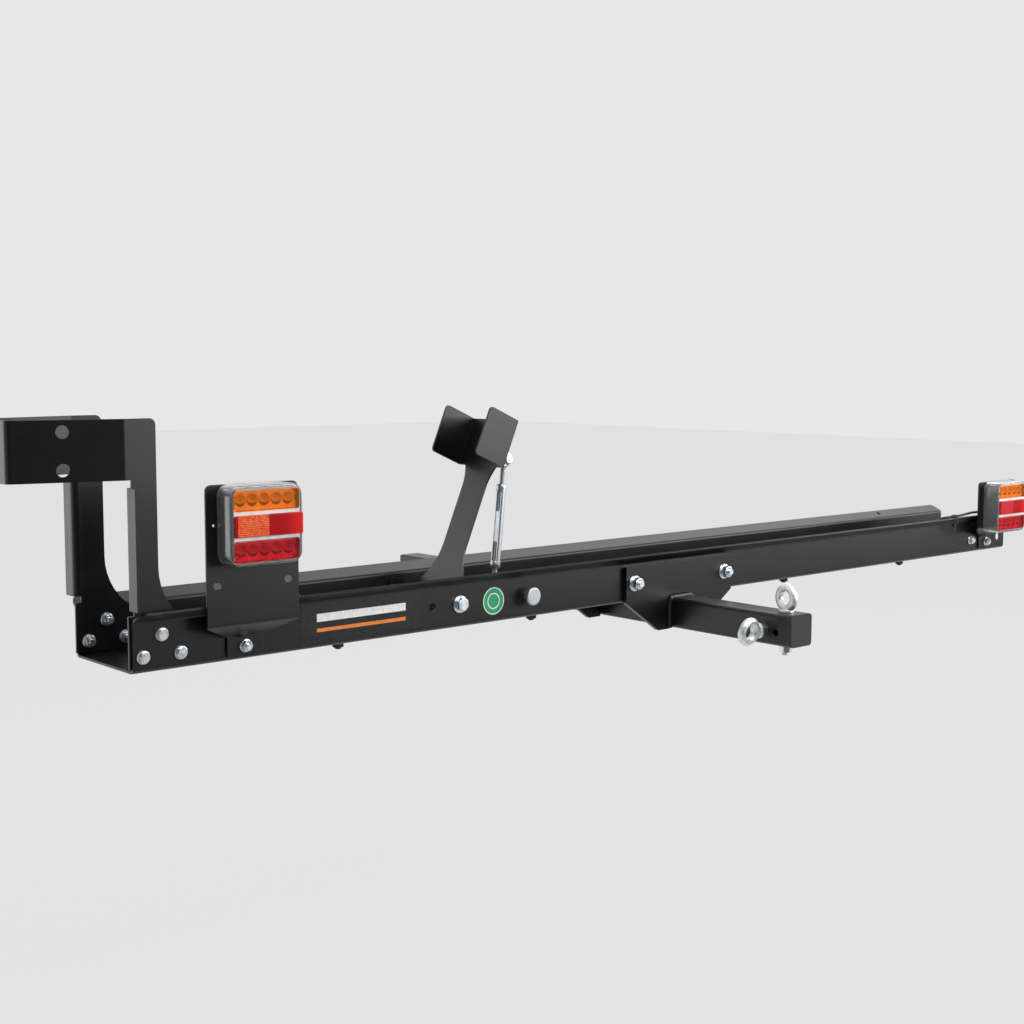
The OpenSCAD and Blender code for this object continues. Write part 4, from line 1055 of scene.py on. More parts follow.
@dataclass(frozen=True)
class Eyebolts:
    """Forged strap eyes: one upright on the stub, one out of its side on a spacer."""

    tube_x: float = 987.0
    tube: float = 50.0
    ring_outer: float = 45.0
    ring_bar: float = 12.4
    # The rings stand turned about their shanks, by this angle in degrees
    ring_turn: float = 10.0
    # A ring's bar swells by this share towards its foot
    swell: float = 0.1
    collar: float = 25.0
    collar_t: float = 5.0
    top_y: float = -228.0
    side_y: float = -204.0
    side_z: float = -27.0
    spacer: float = 12.5
    threaded: float = 24.0

    def ring(self) -> Patch:
        """Forged ring in the YZ plane: a torus whose bar swells by a tenth towards its foot.

        Point = centre + (R + b cos v) along the circle + b sin v along X, with b = bar/2 (1 + 0.1 cos-squared of the
        angle from the foot).

        Returns:
            The closed patch, standing on Z = 0.
        """
        around, section = turn(72)[:, None], turn(28)[None]
        bar = self.ring_bar / 2
        foot = self.swell * np.clip(np.cos(around + math.pi / 2), 0, 1) ** 2
        swollen = bar * (1 + foot) * np.ones_like(section)
        reach = self.ring_outer / 2 - bar + np.minimum(swollen, bar + 0.5) * np.cos(section) - foot * bar
        x, y = swollen * np.sin(section), reach * np.cos(around)
        cos, sin = math.cos(math.radians(self.ring_turn)), math.sin(math.radians(self.ring_turn))
        return Patch(np.stack((cos * x + sin * y, cos * y - sin * x,
                               reach * np.sin(around) + self.ring_outer / 2), -1), wrap_rows=True)

    def foot(self, shank: float) -> list[Patch]:
        """Collar with rounded rims, a flaring neck into the ring, and a shank that ends in a thread.

        Args:
            shank: Length below the collar.

        Returns:
            Collar with neck, plain shank and thread.
        """
        rim = self.collar / 2
        profile = np.concatenate((
            ((0.0, 0.0), (rim - 0.8, 0.0)), fillet((rim - 0.8, 0.8), 0.8, -90, 0, 3),
            fillet((rim - 1.2, self.collar_t - 1.2), 1.2, 0, 90, 4), ((rim - 4.5, self.collar_t),),
            fillet((rim - 4.5, self.collar_t + 3.6), 3.6, -90, -160, 5), ((0.0, self.collar_t + 3.4),)))
        radius, thread_top = M12.thread.diameter / 2, self.threaded - shank
        plain = np.array(((0.0, 0.5), (radius, 0.5), (radius, thread_top), (radius - 0.9, thread_top - 1.0),
                          (0.0, thread_top - 1.0)))
        return [revolved(profile, 48), revolved(plain, 32), M12.thread.surface(-shank, thread_top)]

    def spacer_nut(self) -> Patch:
        """Long hexagon nut without a thread, chamfered at both ends.

        Returns:
            The patch, closed through its bore.
        """
        bore, corner, length = M12.thread.diameter / 2 + 0.05, M12.corner, self.spacer
        rows = [(bore + 0.8, 0.0, 0.0), (corner - 0.9, 0.0, 1.0), (corner - 0.3, 0.7, 1.0), (corner, 1.4, 1.0),
                (corner, length - 1.4, 1.0), (corner - 0.3, length - 0.7, 1.0), (corner - 0.9, length, 1.0),
                (bore + 0.8, length, 0.0), (bore, length - 0.8, 0.0), (bore, 0.8, 0.0)]
        return Patch(M12.stack(rows).points, wrap_rows=True)

    def build(self) -> None:
        """Both eyes, the side one's spacer, and their nuts."""
        top = Place((self.tube_x, self.top_y, 0.0))
        side_x = self.tube_x - self.tube / 2
        side = Place((side_x - self.spacer, self.side_y, self.side_z), (0.0, 1.0, 0.0), (-1.0, 0.0, 0.0))
        through = self.tube + M12.height + TIP
        for node, place, length in (("eyebolt_top", top, through), ("eyebolt_side", side, through + self.spacer)):
            write_piece(f"{node}_forged", placed([self.ring()] + self.foot(length), [place]), [FORGED_ZINC], node,
                        sharp_degrees=60)
        under = turned_place((self.tube_x, self.top_y, -self.tube), (0.0, 0.0, -1.0))
        beside = turned_place((side_x + self.tube, self.side_y, self.side_z), (1.0, 0.0, 0.0))
        write_piece("eyebolt_nuts_machined", placed([M12.nut()], [under, beside]), [BRIGHT_ZINC], "eyebolt_nuts")
        between = turned_place((side_x, self.side_y, self.side_z), (-1.0, 0.0, 0.0))
        write_piece("eyebolt_spacer_nut", placed([self.spacer_nut()], [between]), [BRIGHT_ZINC], "eyebolt_spacer")


@dataclass(frozen=True)
class SupportPivots:
    """Bolts that the wheel support turns on, and the bolt in its lug."""

    pivot: Pair = (521.0, 34.0)
    # From the wall's outer face to the ear's inner one: two sheets, the gap between them and a little play
    ear: float = 2 * SHEET + 0.8 + 0.08
    tilt: float = math.radians(23.4)
    lug_x: float = 58.4
    lug_s: float = 245.4
    lug_half: float = 8.5

    def lug_point(self, y: float) -> Vector3:
        """A point on the lug bolt's axis, beside the channel's middle by y.

        Args:
            y: Distance from the channel's middle.

        Returns:
            The point in the channel's frame.
        """
        across = np.array((math.cos(self.tilt), -math.sin(self.tilt))) * self.lug_x
        up = np.array((math.sin(self.tilt), math.cos(self.tilt))) * self.lug_s
        x, z = self.pivot + across + up
        return float(x), CHANNEL_WIDTH / 2 + y, float(z)

    def build(self) -> None:
        """Pivot bolts from outside the walls with nuts inside, and the lug's bolt and nut."""
        write_fasteners("arm_pivot", M12, self.ear + M12.height + TIP / 2, on_walls((self.pivot,), 0.0),
                        on_walls((self.pivot,), -self.ear, inwards=True))
        near, far = (turned_place(self.lug_point(sign * self.lug_half), (0.0, sign, 0.0)) for sign in (-1.0, 1.0))
        write_fasteners("lug", M8, 2 * self.lug_half + M8.height + TIP / 2, [near], [far], body=Body.SUPPORT,
                        plural="")


@dataclass(frozen=True)
class Turnbuckle:
    """Two eyes with threaded rods and the body that draws them together, on a line from clevis pin to lug bolt."""

    foot: Vector3 = (651.0, 77.0, 34.0)
    tilt: float = math.radians(5.9505)
    span: float = 203.118
    eye: float = 28.0
    eye_t: float = 7.0
    lower_hole: float = 12.6
    upper_hole: float = 13.4
    rod: Thread = M8.thread
    rod_in: float = 75.0
    rod_out: float = 81.0
    start: float = 33.0
    length: float = 131.0
    collar: float = 16.0
    collar_l: float = 12.0
    bar_w: float = 8.0
    bar_t: float = 3.5
    # Power of the eye's superellipse: under one makes it boxier than an oval
    power: float = 2 / 3

    def place(self, up: float = 0.0, down: bool = False) -> Place:
        """The turnbuckle's frame, moved along its line, upright or pointing down.

        Args:
            up: Distance along the line from its foot.
            down: Whether it points down.

        Returns:
            The place.
        """
        way = np.array((math.sin(self.tilt), 0.0, math.cos(self.tilt)))
        across = (math.cos(self.tilt), 0.0, -math.sin(self.tilt))
        origin = np.array(self.foot) + way * up
        return Place(tuple(origin), across, tuple(-way if down else way))

    def eye_patch(self, hole: float) -> Patch:
        """Forged eye about Y: a ring of rounded oblong section.

        The section is a superellipse of power 3: reach = middle + half width |cos v|^(2/3) with its sign, and
        y = half thickness |sin v|^(2/3) with its sign.

        Args:
            hole: Diameter of the hole.

        Returns:
            The closed patch.
        """
        around, section = turn(64)[:, None], turn(28)[None]
        cos, sin = np.cos(section), np.sin(section)
        reach = (self.eye + hole) / 4 + (self.eye - hole) / 4 * np.sign(cos) * np.abs(cos) ** self.power
        y = self.eye_t / 2 * np.sign(sin) * np.abs(sin) ** self.power + 0 * around
        return Patch(np.stack((reach * np.cos(around), y, reach * np.sin(around)), -1), wrap_rows=True)

    def neck(self) -> Patch:
        """Flare from the eye into the rod: the radius falls from 6 to 4 mm along a quarter circle.

        Returns:
            The patch round Z.
        """
        profile = np.concatenate((((0.0, self.eye / 2 - 3.0), (5.6, self.eye / 2 - 3.0)),
                                  fillet((7.0, self.eye / 2 + 2.0), 3.0, 215, 180, 4), ((0.0, self.eye / 2 + 2.6),)))
        return revolved(profile, 28)

    def eye_with_rod(self, hole: float, length: float) -> list[Patch]:
        """Eye at the origin, with its neck and threaded rod up Z."""
        return [self.eye_patch(hole), self.neck(), self.rod.surface(self.eye / 2 - 1.0, length)]

    def body(self) -> list[Patch]:
        """Two collars and the two flat bars between them.

        Returns:
            Lower and upper collar, and both bars.
        """
        bore, rim = self.rod.diameter / 2 + 0.08, self.collar / 2
        collar = np.array(((bore, 1.0), (bore + 1.0, 0.0), (rim - 1.0, 0.0), (rim, 1.0), (rim, self.collar_l - 1.0),
                           (rim - 1.0, self.collar_l), (bore + 0.4, self.collar_l), (bore, self.collar_l - 0.4)))
        patches = [Patch(revolved(collar + (0.0, z)).points, wrap_rows=True)
                   for z in (0.0, self.length - self.collar_l)]
        middle = rim - self.bar_t / 2
        section = rounded_loop(self.bar_w, self.bar_t, 1.1, 4, 3)[0]
        # The bars crown with the collar's own round: v falls with the square of u
        section = np.stack((section[:, 0], section[:, 1] - np.square(section[:, 0]) / self.collar), 1)
        ends = np.linspace(self.collar_l / 2, self.length - self.collar_l / 2, 12)
        for sign in (-1, 1):
            path = np.stack((0 * ends, sign * (middle + 0.15) + 0 * ends, ends), 1)
            patches.append(carried(path, section * (1, sign), (1.0, 0.0, 0.0)))
        return patches

    def build(self) -> None:
        """Lower eye, body and upper eye, each on its own part of the mechanism."""
        lower, upper = (self.eye_with_rod(hole, length) for hole, length in (
            (self.lower_hole, self.rod_in), (self.upper_hole, self.rod_out)))
        for node, patches, place, body in (
                ("turnbuckle_lower_eye", lower, self.place(), Body.LOWER_EYE),
                ("turnbuckle_body", self.body(), self.place(self.start), Body.BUCKLE),
                ("turnbuckle_upper_eye", upper, self.place(self.span, True), Body.UPPER_EYE)):
            write_piece(f"{node}_forged", placed(patches, [place]), [GALVANISED], node, body=body, sharp_degrees=50)


@dataclass(frozen=True)
class ClevisPin:
    """Pin through both walls that holds the turnbuckle's foot, with a disc head and a detent ball."""

    x: float = 651.0
    z: float = 34.0
    diameter: float = 12.0
    head: float = 27.0
    head_t: float = 6.0
    # How far the head stands off the near wall, and the tip beyond the far one
    show: float = 12.0
    tip: float = 14.0
    ball: float = 6.0
    # How far the pressed-in ball shows
    ball_show: float = 0.04

    def build(self) -> None:
        """The pin as one turned profile along Y, and its ball."""
        far, r, h = CHANNEL_WIDTH + self.tip, self.diameter / 2, self.head / 2
        under, top = -self.show, -self.show - self.head_t
        profile = np.concatenate((
            ((0.0, far), (r - 2.0, far), (r, far - 2.0), (r, under + 0.6), (r + 0.6, under), (h - 0.8, under)),
            fillet((h - 0.8, under - 0.8), 0.8, 90, 0, 3), fillet((h - 1.6, top + 1.6), 1.6, 0, -90, 5),
            ((h - 2.6, top), (0.0, top))))
        along_y = Place((self.x, 0.0, self.z), z_axis=(0.0, 1.0, 0.0))
        write_piece("clevis_pin_turned", placed([revolved(profile, 56)], [along_y]), [GALVANISED], "clevis_pin",
                    body=Body.CLEVIS_PIN)
        radius = self.ball / 2
        dome = fillet((0.0, 0.0), radius, -90, 90, 16)
        centre = Place((self.x, CHANNEL_WIDTH + self.tip / 2, self.z + r - radius + self.ball_show))
        write_piece("clevis_pin_detent", placed([revolved(dome, 28)], [centre]), [BRIGHT_ZINC], "clevis_pin_ball",
                    body=Body.CLEVIS_PIN)


@dataclass(frozen=True)
class WallBolts:
    """Bolts of the lamp brackets and the spare one near the rear end, nuts outside the near wall."""

    bracket_x: Pair = (158.0, 1927.0)
    bracket_z: float = 18.5
    rear: Pair = (1873.0, 25.0)

    def build(self) -> None:
        """Bolts from inside the wall, nuts outside."""
        brackets = [(x, self.bracket_z) for x in self.bracket_x]
        long_heads, short_head = ([turned_place((x, SHEET, z), (0.0, 1.0, 0.0)) for x, z in points]
                                  for points in (brackets, [self.rear]))
        nuts = [turned_place((x, y, z), (0.0, -1.0, 0.0))
                for points, y in ((brackets, -SHEET), ([self.rear], 0.0)) for x, z in points]
        bolts = (placed(M8.bolt(2 * SHEET + M8.height + TIP / 2), long_heads)
                 + placed(M8.bolt(SHEET + M8.height + TIP / 2), short_head))
        write_piece("bracket_bolts_machined", bolts, [BRIGHT_ZINC], "bracket_bolts")
        write_piece("bracket_nuts_machined", placed([M8.nut()], nuts), [BRIGHT_ZINC], "bracket_nuts")


@dataclass(frozen=True)
class Lamp:
    """Combination lamp on its bracket: housing, clear lens, three windows, cups, diodes and board.

    Its own frame has X along the channel, Y up and Z out of the bracket.
    """

    name: str
    x: float
    z: float
    # Colours of the reflex cells, a painted reflection that is paler on the left lamp than on the right one, and of the
    # seams between them
    reflex_glint_colours: tuple[str, str, str] = ("#ff9a5c", "#f85a30", "#b41410")
    out: float = BRACKET_OUT
    width: float = 106.0
    height: float = 102.0
    depth: float = 34.0
    corner: float = 15.0
    wall: float = 2.4
    fit: float = 0.2
    # The lens starts just off the bracket, and its front rim is a quarter circle of this radius
    lens_back: float = 1.0
    lens_rim: float = 3.4
    base_depth: float = 31.0
    base_wall: float = 2.5
    # Heights of the board's two faces
    board_faces: Pair = (9.0, 10.6)
    # Windows: height, corner radius, thickness, distance from the lens's sides, and pitch
    window: float = 27.0
    window_corner: float = 3.0
    window_t: float = 3.0
    inset: float = 5.0
    pitch: float = 32.0
    # The reflex window stands this proud of the lens, and stops this far from its right side
    reflex_rise: float = 2.2
    reflex_inset: float = 0.8
    # Diodes: pitch, diameter of the seat, number in a row, and heights of the seat and of the dome's top
    led_pitch: float = 17.5
    led: float = 9.0
    leds: int = 5
    led_seat: float = 13.6
    led_top: float = 17.6
    # Metallised strip: half its width and height, heights of its back and face, and the cups' radius and depth
    strip: Pair = (47.0, 13.0)
    strip_back: float = 12.4
    strip_face: float = 26.0
    cup: float = 8.4
    cup_depth: float = 8.0
    # Ribs round the housing, seen through the lens as fine upright lines
    rib: float = 2.6
    rib_height: float = 0.35

    def place(self) -> Place:
        """The lamp's frame on the bracket's face."""
        return Place((self.x, -self.out, self.z), z_axis=(0.0, -1.0, 0.0))

    def housing(self) -> Patch:
        """Open tray with ribbed sides: the loop is offset by rib height times |sine of the way round over the rib|.

        Returns:
            The closed patch.
        """
        inset = self.wall + self.fit
        loop, normals = rounded_loop(self.width - 2 * inset, self.height - 2 * inset, self.corner - self.wall,
                                     24, 60)
        rib = self.rib_height * np.abs(np.sin(travelled(loop) / self.rib * math.pi))
        rim, floor, wall = self.base_depth, self.base_wall, self.base_wall
        # Offset, height and share of the ribs of each row, from the back round the rim to the floor inside
        rows = ((1.5, 0.0, 0.0), (0.0, 0.5, 0.0), (0.0, 1.5, 0.0), (0.0, 2.2, 1.0), (0.0, rim - 2.2, 1.0),
                (0.0, rim - 1.5, 0.0), (0.3, rim, 0.0), (wall, rim, 0.0), (wall, floor, 0.0))
        points = np.stack([on_height(loop - (offset + ribbed * rib)[:, None] * normals, height)
                           for offset, height, ribbed in rows])
        return Patch(capped(points, on_height(np.repeat(loop.mean(0)[None], 2, 0), np.array((0.0, floor)))))

    def lens(self) -> Patch:
        """Clear shell: side walls, a rounded front rim, and a frame round the windows.

        Each row of the shell is the outer loop offset inwards, and the last ones run to the windows' own outline.

        Returns:
            The closed patch.
        """
        loop, normals = rounded_loop(self.width, self.height, self.corner, 10, 16)
        opening = rounded_loop(self.width - 2 * self.inset, 2 * self.pitch + self.window, self.window_corner,
                               10, 16)[0]
        rim, front, back = self.lens_rim, self.depth, self.lens_back
        inner = rim - 1.0
        outside = np.concatenate((((0.6, back), (0.0, back + 0.6)), fillet((rim, front - rim), rim, 180, 90, 6)))
        inside = np.concatenate((fillet((self.wall + inner, front - self.wall - inner), inner, 90, 180, 4),
                                 ((self.wall, back),)))
        shell, hollow = ([on_height(loop - offset * normals, height) for offset, height in rows]
                         for rows in (outside, inside))
        frame = [on_height(opening, height) for height in (front, front - self.wall)]
        return Patch(np.stack(shell + frame + hollow), wrap_rows=True)

    def bar(self, sign: int) -> Patch:
        """Bar between two windows whose ends flare round the windows' corners.

        Its half height is half the gap plus r - sqrt(r^2 - d^2), where d is how far into the corner of radius r it is.

        Args:
            sign: 1 for the bar over the middle window, -1 for the one under it.

        Returns:
            The closed patch.
        """
        radius, reach = self.window_corner, self.width / 2 - self.inset
        x = np.concatenate((np.linspace(-reach, -reach + radius, 6),
                            np.linspace(-reach + radius, reach - radius, 12)[1:-1],
                            np.linspace(reach - radius, reach, 6)))
        into = np.clip(np.abs(x) - (reach - radius), 0, radius)
        half = (self.pitch - self.window) / 2 + radius - np.sqrt(np.maximum(radius**2 - into**2, 0.0))
        # Share of the half height, and height over the lens's front: a channel's outline with chamfered edges
        section = np.array(((-1.0, -self.wall), (-1.0, -0.5), (-0.8, 0.0), (0.8, 0.0), (1.0, -0.5),
                            (1.0, -self.wall)))
        y = sign * self.pitch / 2 + section[None, :, 0] * half[:, None]
        z = self.depth + section[None, :, 1] + 0 * y
        return Patch(capped(np.stack((x[:, None] + 0 * y, y, z), -1)))

    def pane(self, row: int) -> Patch:
        """Window of the lamp: a plate with rounded rims, standing 0.6 mm proud of the lens.

        Args:
            row: 1 for the upper window, -1 for the lower one.

        Returns:
            The closed patch.
        """
        loop, normals = rounded_loop(self.width - 2 * self.inset - 0.1, self.window - 0.1, self.window_corner, 6, 12)
        back = self.depth - self.wall
        return Patch(slab(loop, normals, back, back + self.window_t, 0.5).points + (0.0, row * self.pitch, 0.0))

    def reflex_pane(self) -> Patch:
        """Middle window: a plate on the lens's front that stands prouder and reaches the rim on the right.

        Returns:
            The closed patch.
        """
        left, right = self.width / 2 - self.inset, self.width / 2 - self.reflex_inset
        loop, normals = rounded_loop(left + right, self.window + 0.6, 2.0, 6, 12)
        plate = slab(loop, normals, self.depth - 0.2, self.depth + self.reflex_rise, 0.6)
        return Patch(plate.points + ((right - left) / 2, 0.0, 0.0))

    def cup_centres(self) -> Array:
        """X of the diodes in a row."""
        return (np.arange(self.leds) - (self.leds - 1) / 2) * self.led_pitch

    def cups(self, row: int) -> list[Patch]:
        """Metallised strip with a bowl round each diode, and its flat back.

        Height = face - depth (1 - (d / cup)^2) where the distance d to the nearest diode is less than the cup's radius.

        Args:
            row: 1 for the upper window, -1 for the lower one.

        Returns:
            Front and back, which share their edge.
        """
        half_w, half_h = self.strip
        x, y = np.meshgrid(np.linspace(-half_w, half_w, 190), np.linspace(-half_h, half_h, 54), indexing="ij")
        distance = np.hypot(np.abs(x[..., None] - self.cup_centres()).min(-1), y)
        z = self.strip_face - self.cup_depth * np.clip(1 - (distance / self.cup) ** 2, 0, 1)
        # The outermost points lie on the back, which makes the strip's sides
        z[[0, -1]] = z[:, [0, -1]] = self.strip_back
        front = np.stack((x, y + row * self.pitch, z), -1)
        rear = front * (1, 1, 0) + (0, 0, self.strip_back)
        return [Patch(face, wrap_columns=False) for face in (front, rear)]

    def diodes(self) -> list[Patch]:
        """Domed diodes on their seats: a turned profile at each place.

        Returns:
            The upper row's diodes, and the lower row's.
        """
        seat, dome, foot, step = self.led / 2, self.led / 4, self.board_faces[1], self.led_seat
        profile = np.concatenate((((0.0, foot), (seat, foot), (seat, step - 0.4), (seat - 0.4, step), (dome, step),
                                   (dome, self.led_top - dome)),
                                  fillet((0.0, self.led_top - dome), dome, 0, 90, 5)[1:]))
        one = revolved(profile, 20)
        return [Patch(one.points + (float(x), row * self.pitch, 0.0))
                for row in (-1, 1) for x in self.cup_centres()]

    def board(self) -> Patch:
        """Circuit board: a thin plate inside the housing.

        Returns:
            The closed patch.
        """
        inset = self.wall + self.fit + self.base_wall + 0.2
        loop, normals = rounded_loop(self.width - 2 * inset, self.height - 2 * inset,
                                     self.corner - self.wall - self.base_wall, 8, 8)
        return slab(loop, normals, *self.board_faces, 0.2)

    def write(self, part: str, patches: list[Patch], finish: Finish, *nodes: str) -> None:
        """Writes one piece of this lamp at its place, for these of the lamp's CAD nodes."""
        write_piece(f"{self.name}_{part}", placed(patches, [self.place()]), [finish],
                    *(f"{self.name}_{node}" for node in nodes))

    def build(self) -> None:
        """The lamp's pieces from the housing to the cups."""
        reflex = ReflexPlastic(f"reflex_plastic_{self.name}", "red_reflector", self.x, *self.reflex_glint_colours)
        cups = MetallisedCups(f"metallised_cups_{self.name}", "lamp_diodes", self.x, self.z)
        self.write("housing_ribbed", [self.housing()], LAMP_HOUSING, "base")
        self.write("lens_shell", [self.lens()], CLEAR_LENS, "lens")
        self.write("lens_bars", [self.bar(sign) for sign in (-1, 1)], FROSTED_LENS)
        self.write("window_amber", [self.pane(1)], AMBER_LENS, "amber")
        self.write("window_reflex", [self.reflex_pane()], reflex, "reflector")
        self.write("window_tail", [self.pane(-1)], TAIL_LENS, "tail")
        self.write("circuit_board", [self.board()], BOARD, "board")
        self.write("diodes_domed", self.diodes(), DIODE, "leds")
        for row, word in ((1, "upper"), (-1, "lower")):
            self.write(f"cups_{word}", self.cups(row), cups)


@dataclass(frozen=True)
class LampFixings:
    """Screws and rubber grommets behind the lamps."""

    screw_out: float = 34.0

    def build(self) -> None:
        """Dome-headed screws through the bracket, and a grommet round each cable."""
        screw = np.concatenate((
            ((0.0, -7.5), (1.2, -7.5), (1.95, -6.6), (1.95, 0.0), (4.5, 0.0)), fillet((2.5, 1.0), 2.0, 0, 90, 4),
            ((1.4, 3.0), (1.1, 2.0), (0.0, 2.0))))
        grommet = np.concatenate((
            ((2.5, 0.0), (5.0, 0.0), (5.0, 3.0), (6.0, 3.0)), fillet((5.2, 4.2), 0.8, 0, 90, 3),
            ((3.2, 5.0), (2.5, 4.4))))
        screws = [Place((x + side * self.screw_out, SHEET - BRACKET_OUT, z), z_axis=(0.0, 1.0, 0.0))
                  for x, z in LAMP_CENTRES for side in (-1, 1)]
        exits = [Place((x, -BRACKET_OUT, z - CABLE_DROP), z_axis=(0.0, 1.0, 0.0)) for x, z in LAMP_CENTRES]
        write_piece("lamp_screws_domed", placed([revolved(screw, 28)], screws), [BRIGHT_ZINC], "lamp_screws")
        ring = Patch(revolved(grommet, 32).points, wrap_rows=True)
        write_piece("lamp_grommets_moulded", placed([ring], exits), [RUBBER], "lamp_grommets")


@dataclass(frozen=True)
class LampCable:
    """Sheathed cable from the right lamp down over the lip, along the floor in clips, and up to the left lamp."""

    diameter: float = 5.0
    columns: int = 14
    tie_x: float = 1788.0
    # The tie's loop round lip and cable: width, height, and Y and Z of its middle
    tie_size: Pair = (12.4, 17.8)
    tie_middle: Pair = (-15.6, 74.1)
    # The tie's tail: Y, and Z of its two ends; it has this pitch of teeth
    tail_y: float = -15.0
    tail_z: Pair = (62.0, 50.0)
    tooth: float = 1.2
    clip_xs: tuple[float, ...] = (328.0, 690.0, 1310.0, 1672.0)
    clip_width: float = 12.0
    # Y and Z of the cable on the floor
    cable_y: float = 11.0
    cable_z: float = 6.7
    clip_bolt_y: float = 33.0
    strap: float = 1.2

    def route(self) -> Array:
        """Points that the cable passes, from the right lamp to the left one.

        Returns:
            Points in the channel's frame.
        """
        (left, left_z), (right, right_z) = LAMP_CENTRES
        y, z = self.cable_y, self.cable_z
        leave = np.array(((0.0, -BRACKET_OUT, -CABLE_DROP), (0.0, -20.5, -CABLE_DROP)))
        bend = [(-1, -16, 81), (-5, -11.5, 81), (-12, -9, 81.2), (-22, -8.5, 81.6), (-38, -10, 82.4), (-57, -13, 83.4),
                (-78, -15, 83.6), (-102, -16, 82)]
        over = [(15, -15, 80), (0, -15, 79.6), (-15, -12, 79), (-30, -4, 76.5), (-41, 4, 70), (-49, 9, 58),
                (-57, y, 42), (-66, y, 25), (-79, y, 12), (-94, y, z)]
        climb = [(130, y, 12), (117, y, 25), (108, y, 42), (100, 9, 58), (91, 4, 70), (79, -4, 76.5), (64, -11, 82),
                 (47, -12, 95), (30, -11, 114), (15, -10.5, 136), (4, -10.5, 154), (1, -12.5, 162), (0, -16.5, 166.5)]
        a, b, c, d = self.clip_xs
        floor = [(d + 11, y, z), (d - 11, y, z), (c + 20, y, z), (c - 20, y, z), (CHANNEL_LENGTH / 2, y, z),
                 (b + 20, y, z), (b - 20, y, z), (a + 11, y, z), (a - 11, y, z), (a - 22, y, z)]
        parts = [leave + (right, 0, right_z), np.array(bend) + (right, 0, 0), np.array(over) + (self.tie_x, 0, 0),
                 np.array(floor), np.array(climb) + (left, 0, 0), leave[::-1] + (left, 0, left_z)]
        return np.concatenate(parts)

    def sheath(self) -> Patch:
        """Round section carried along the route without twisting.

        Each side vector is the one before it, turned into the next plane, so this goes from point to point.

        Returns:
            The closed patch.
        """
        path = smooth_route(self.route(), 6)
        way = along(path)
        side = np.empty_like(path)
        side[0] = (1.0, 0.0, 0.0)
        for i in range(1, len(path)):
            flat = side[i - 1] - (side[i - 1] @ way[i]) * way[i]
            side[i] = flat / np.linalg.norm(flat)
        angle = turn(self.columns)[None, :, None]
        round_section = np.cos(angle) * side[:, None] + np.sin(angle) * np.cross(way, side)[:, None]
        return Patch(capped(path[:, None] + self.diameter / 2 * round_section, path[[0, -1]]))

    def clip(self, x: float) -> Patch:
        """Strap that lies on the floor, runs round the cable and back under its own tab.

        Args:
            x: Where the clip is along the channel.

        Returns:
            The closed patch.
        """
        radius = self.diameter / 2 + self.strap / 2 + 0.03
        tab = np.stack((np.linspace(self.clip_bolt_y + M10.flange / 2, self.cable_y + 4.2, 16),
                        np.full(16, SHEET + self.strap / 2)), 1)
        around = fillet((self.cable_y, self.cable_z), radius, -62, 240, 26)
        flat = np.concatenate((tab, around))
        path = np.stack((np.full(len(flat), x), flat[:, 0], flat[:, 1]), 1)
        section = rounded_loop(self.clip_width, self.strap, 0.5, 3, 3)[0]
        return carried(path, section, (1.0, 0.0, 0.0))

    def tie(self) -> list[Patch]:
        """Cable tie on the near lip: a flat loop, its lock and a hanging tail with fine teeth.

        Returns:
            Loop, lock and tail.
        """
        loop = rounded_loop(*self.tie_size, 3.4, 6, 10)[0] + self.tie_middle
        path = np.concatenate((np.full((len(loop), 1), self.tie_x), loop), 1)
        strap = rounded_loop(4.0, 1.1, 0.4, 2, 2)[0]
        band = carried(path, strap, (1.0, 0.0, 0.0), closed=True)
        lock = slab(*rounded_loop(6.0, 6.0, 1.0, 3, 2), -2.5, 2.5, 0.7)
        drop = np.linspace(*self.tail_z, 40)
        tail = np.stack((np.full(40, self.tie_x), np.full(40, self.tail_y), drop), 1)
        teeth = 1 + 0.12 * np.sin(drop / self.tooth * FULL_TURN)
        return [band, lock.moved(Place((self.tie_x, self.tail_y, self.tail_z[0] + 0.1))),
                carried(tail, strap, (1.0, 0.0, 0.0), scale=teeth)]

    def build(self) -> None:
        """Cable, tie, clips, and the clips' bolts and nuts."""
        write_piece("lamp_cable_sheathed", [self.sheath()], [RUBBER], "lamp_cable", sharp_degrees=60)
        write_piece("cable_tie_moulded", self.tie(), [NYLON], "cable_tie")
        write_piece("cable_clips_moulded", [self.clip(x) for x in self.clip_xs], [NYLON], "cable_clips",
                    sharp_degrees=50)
        over, under = ([turned_place((x, self.clip_bolt_y, z), (0.0, 0.0, way)) for x in self.clip_xs]
                       for z, way in ((SHEET + self.strap, 1.0), (0.0, -1.0)))
        write_fasteners("clip", M10, SHEET + self.strap + M10.height + TIP / 2, over, under, BLACK_ZINC)


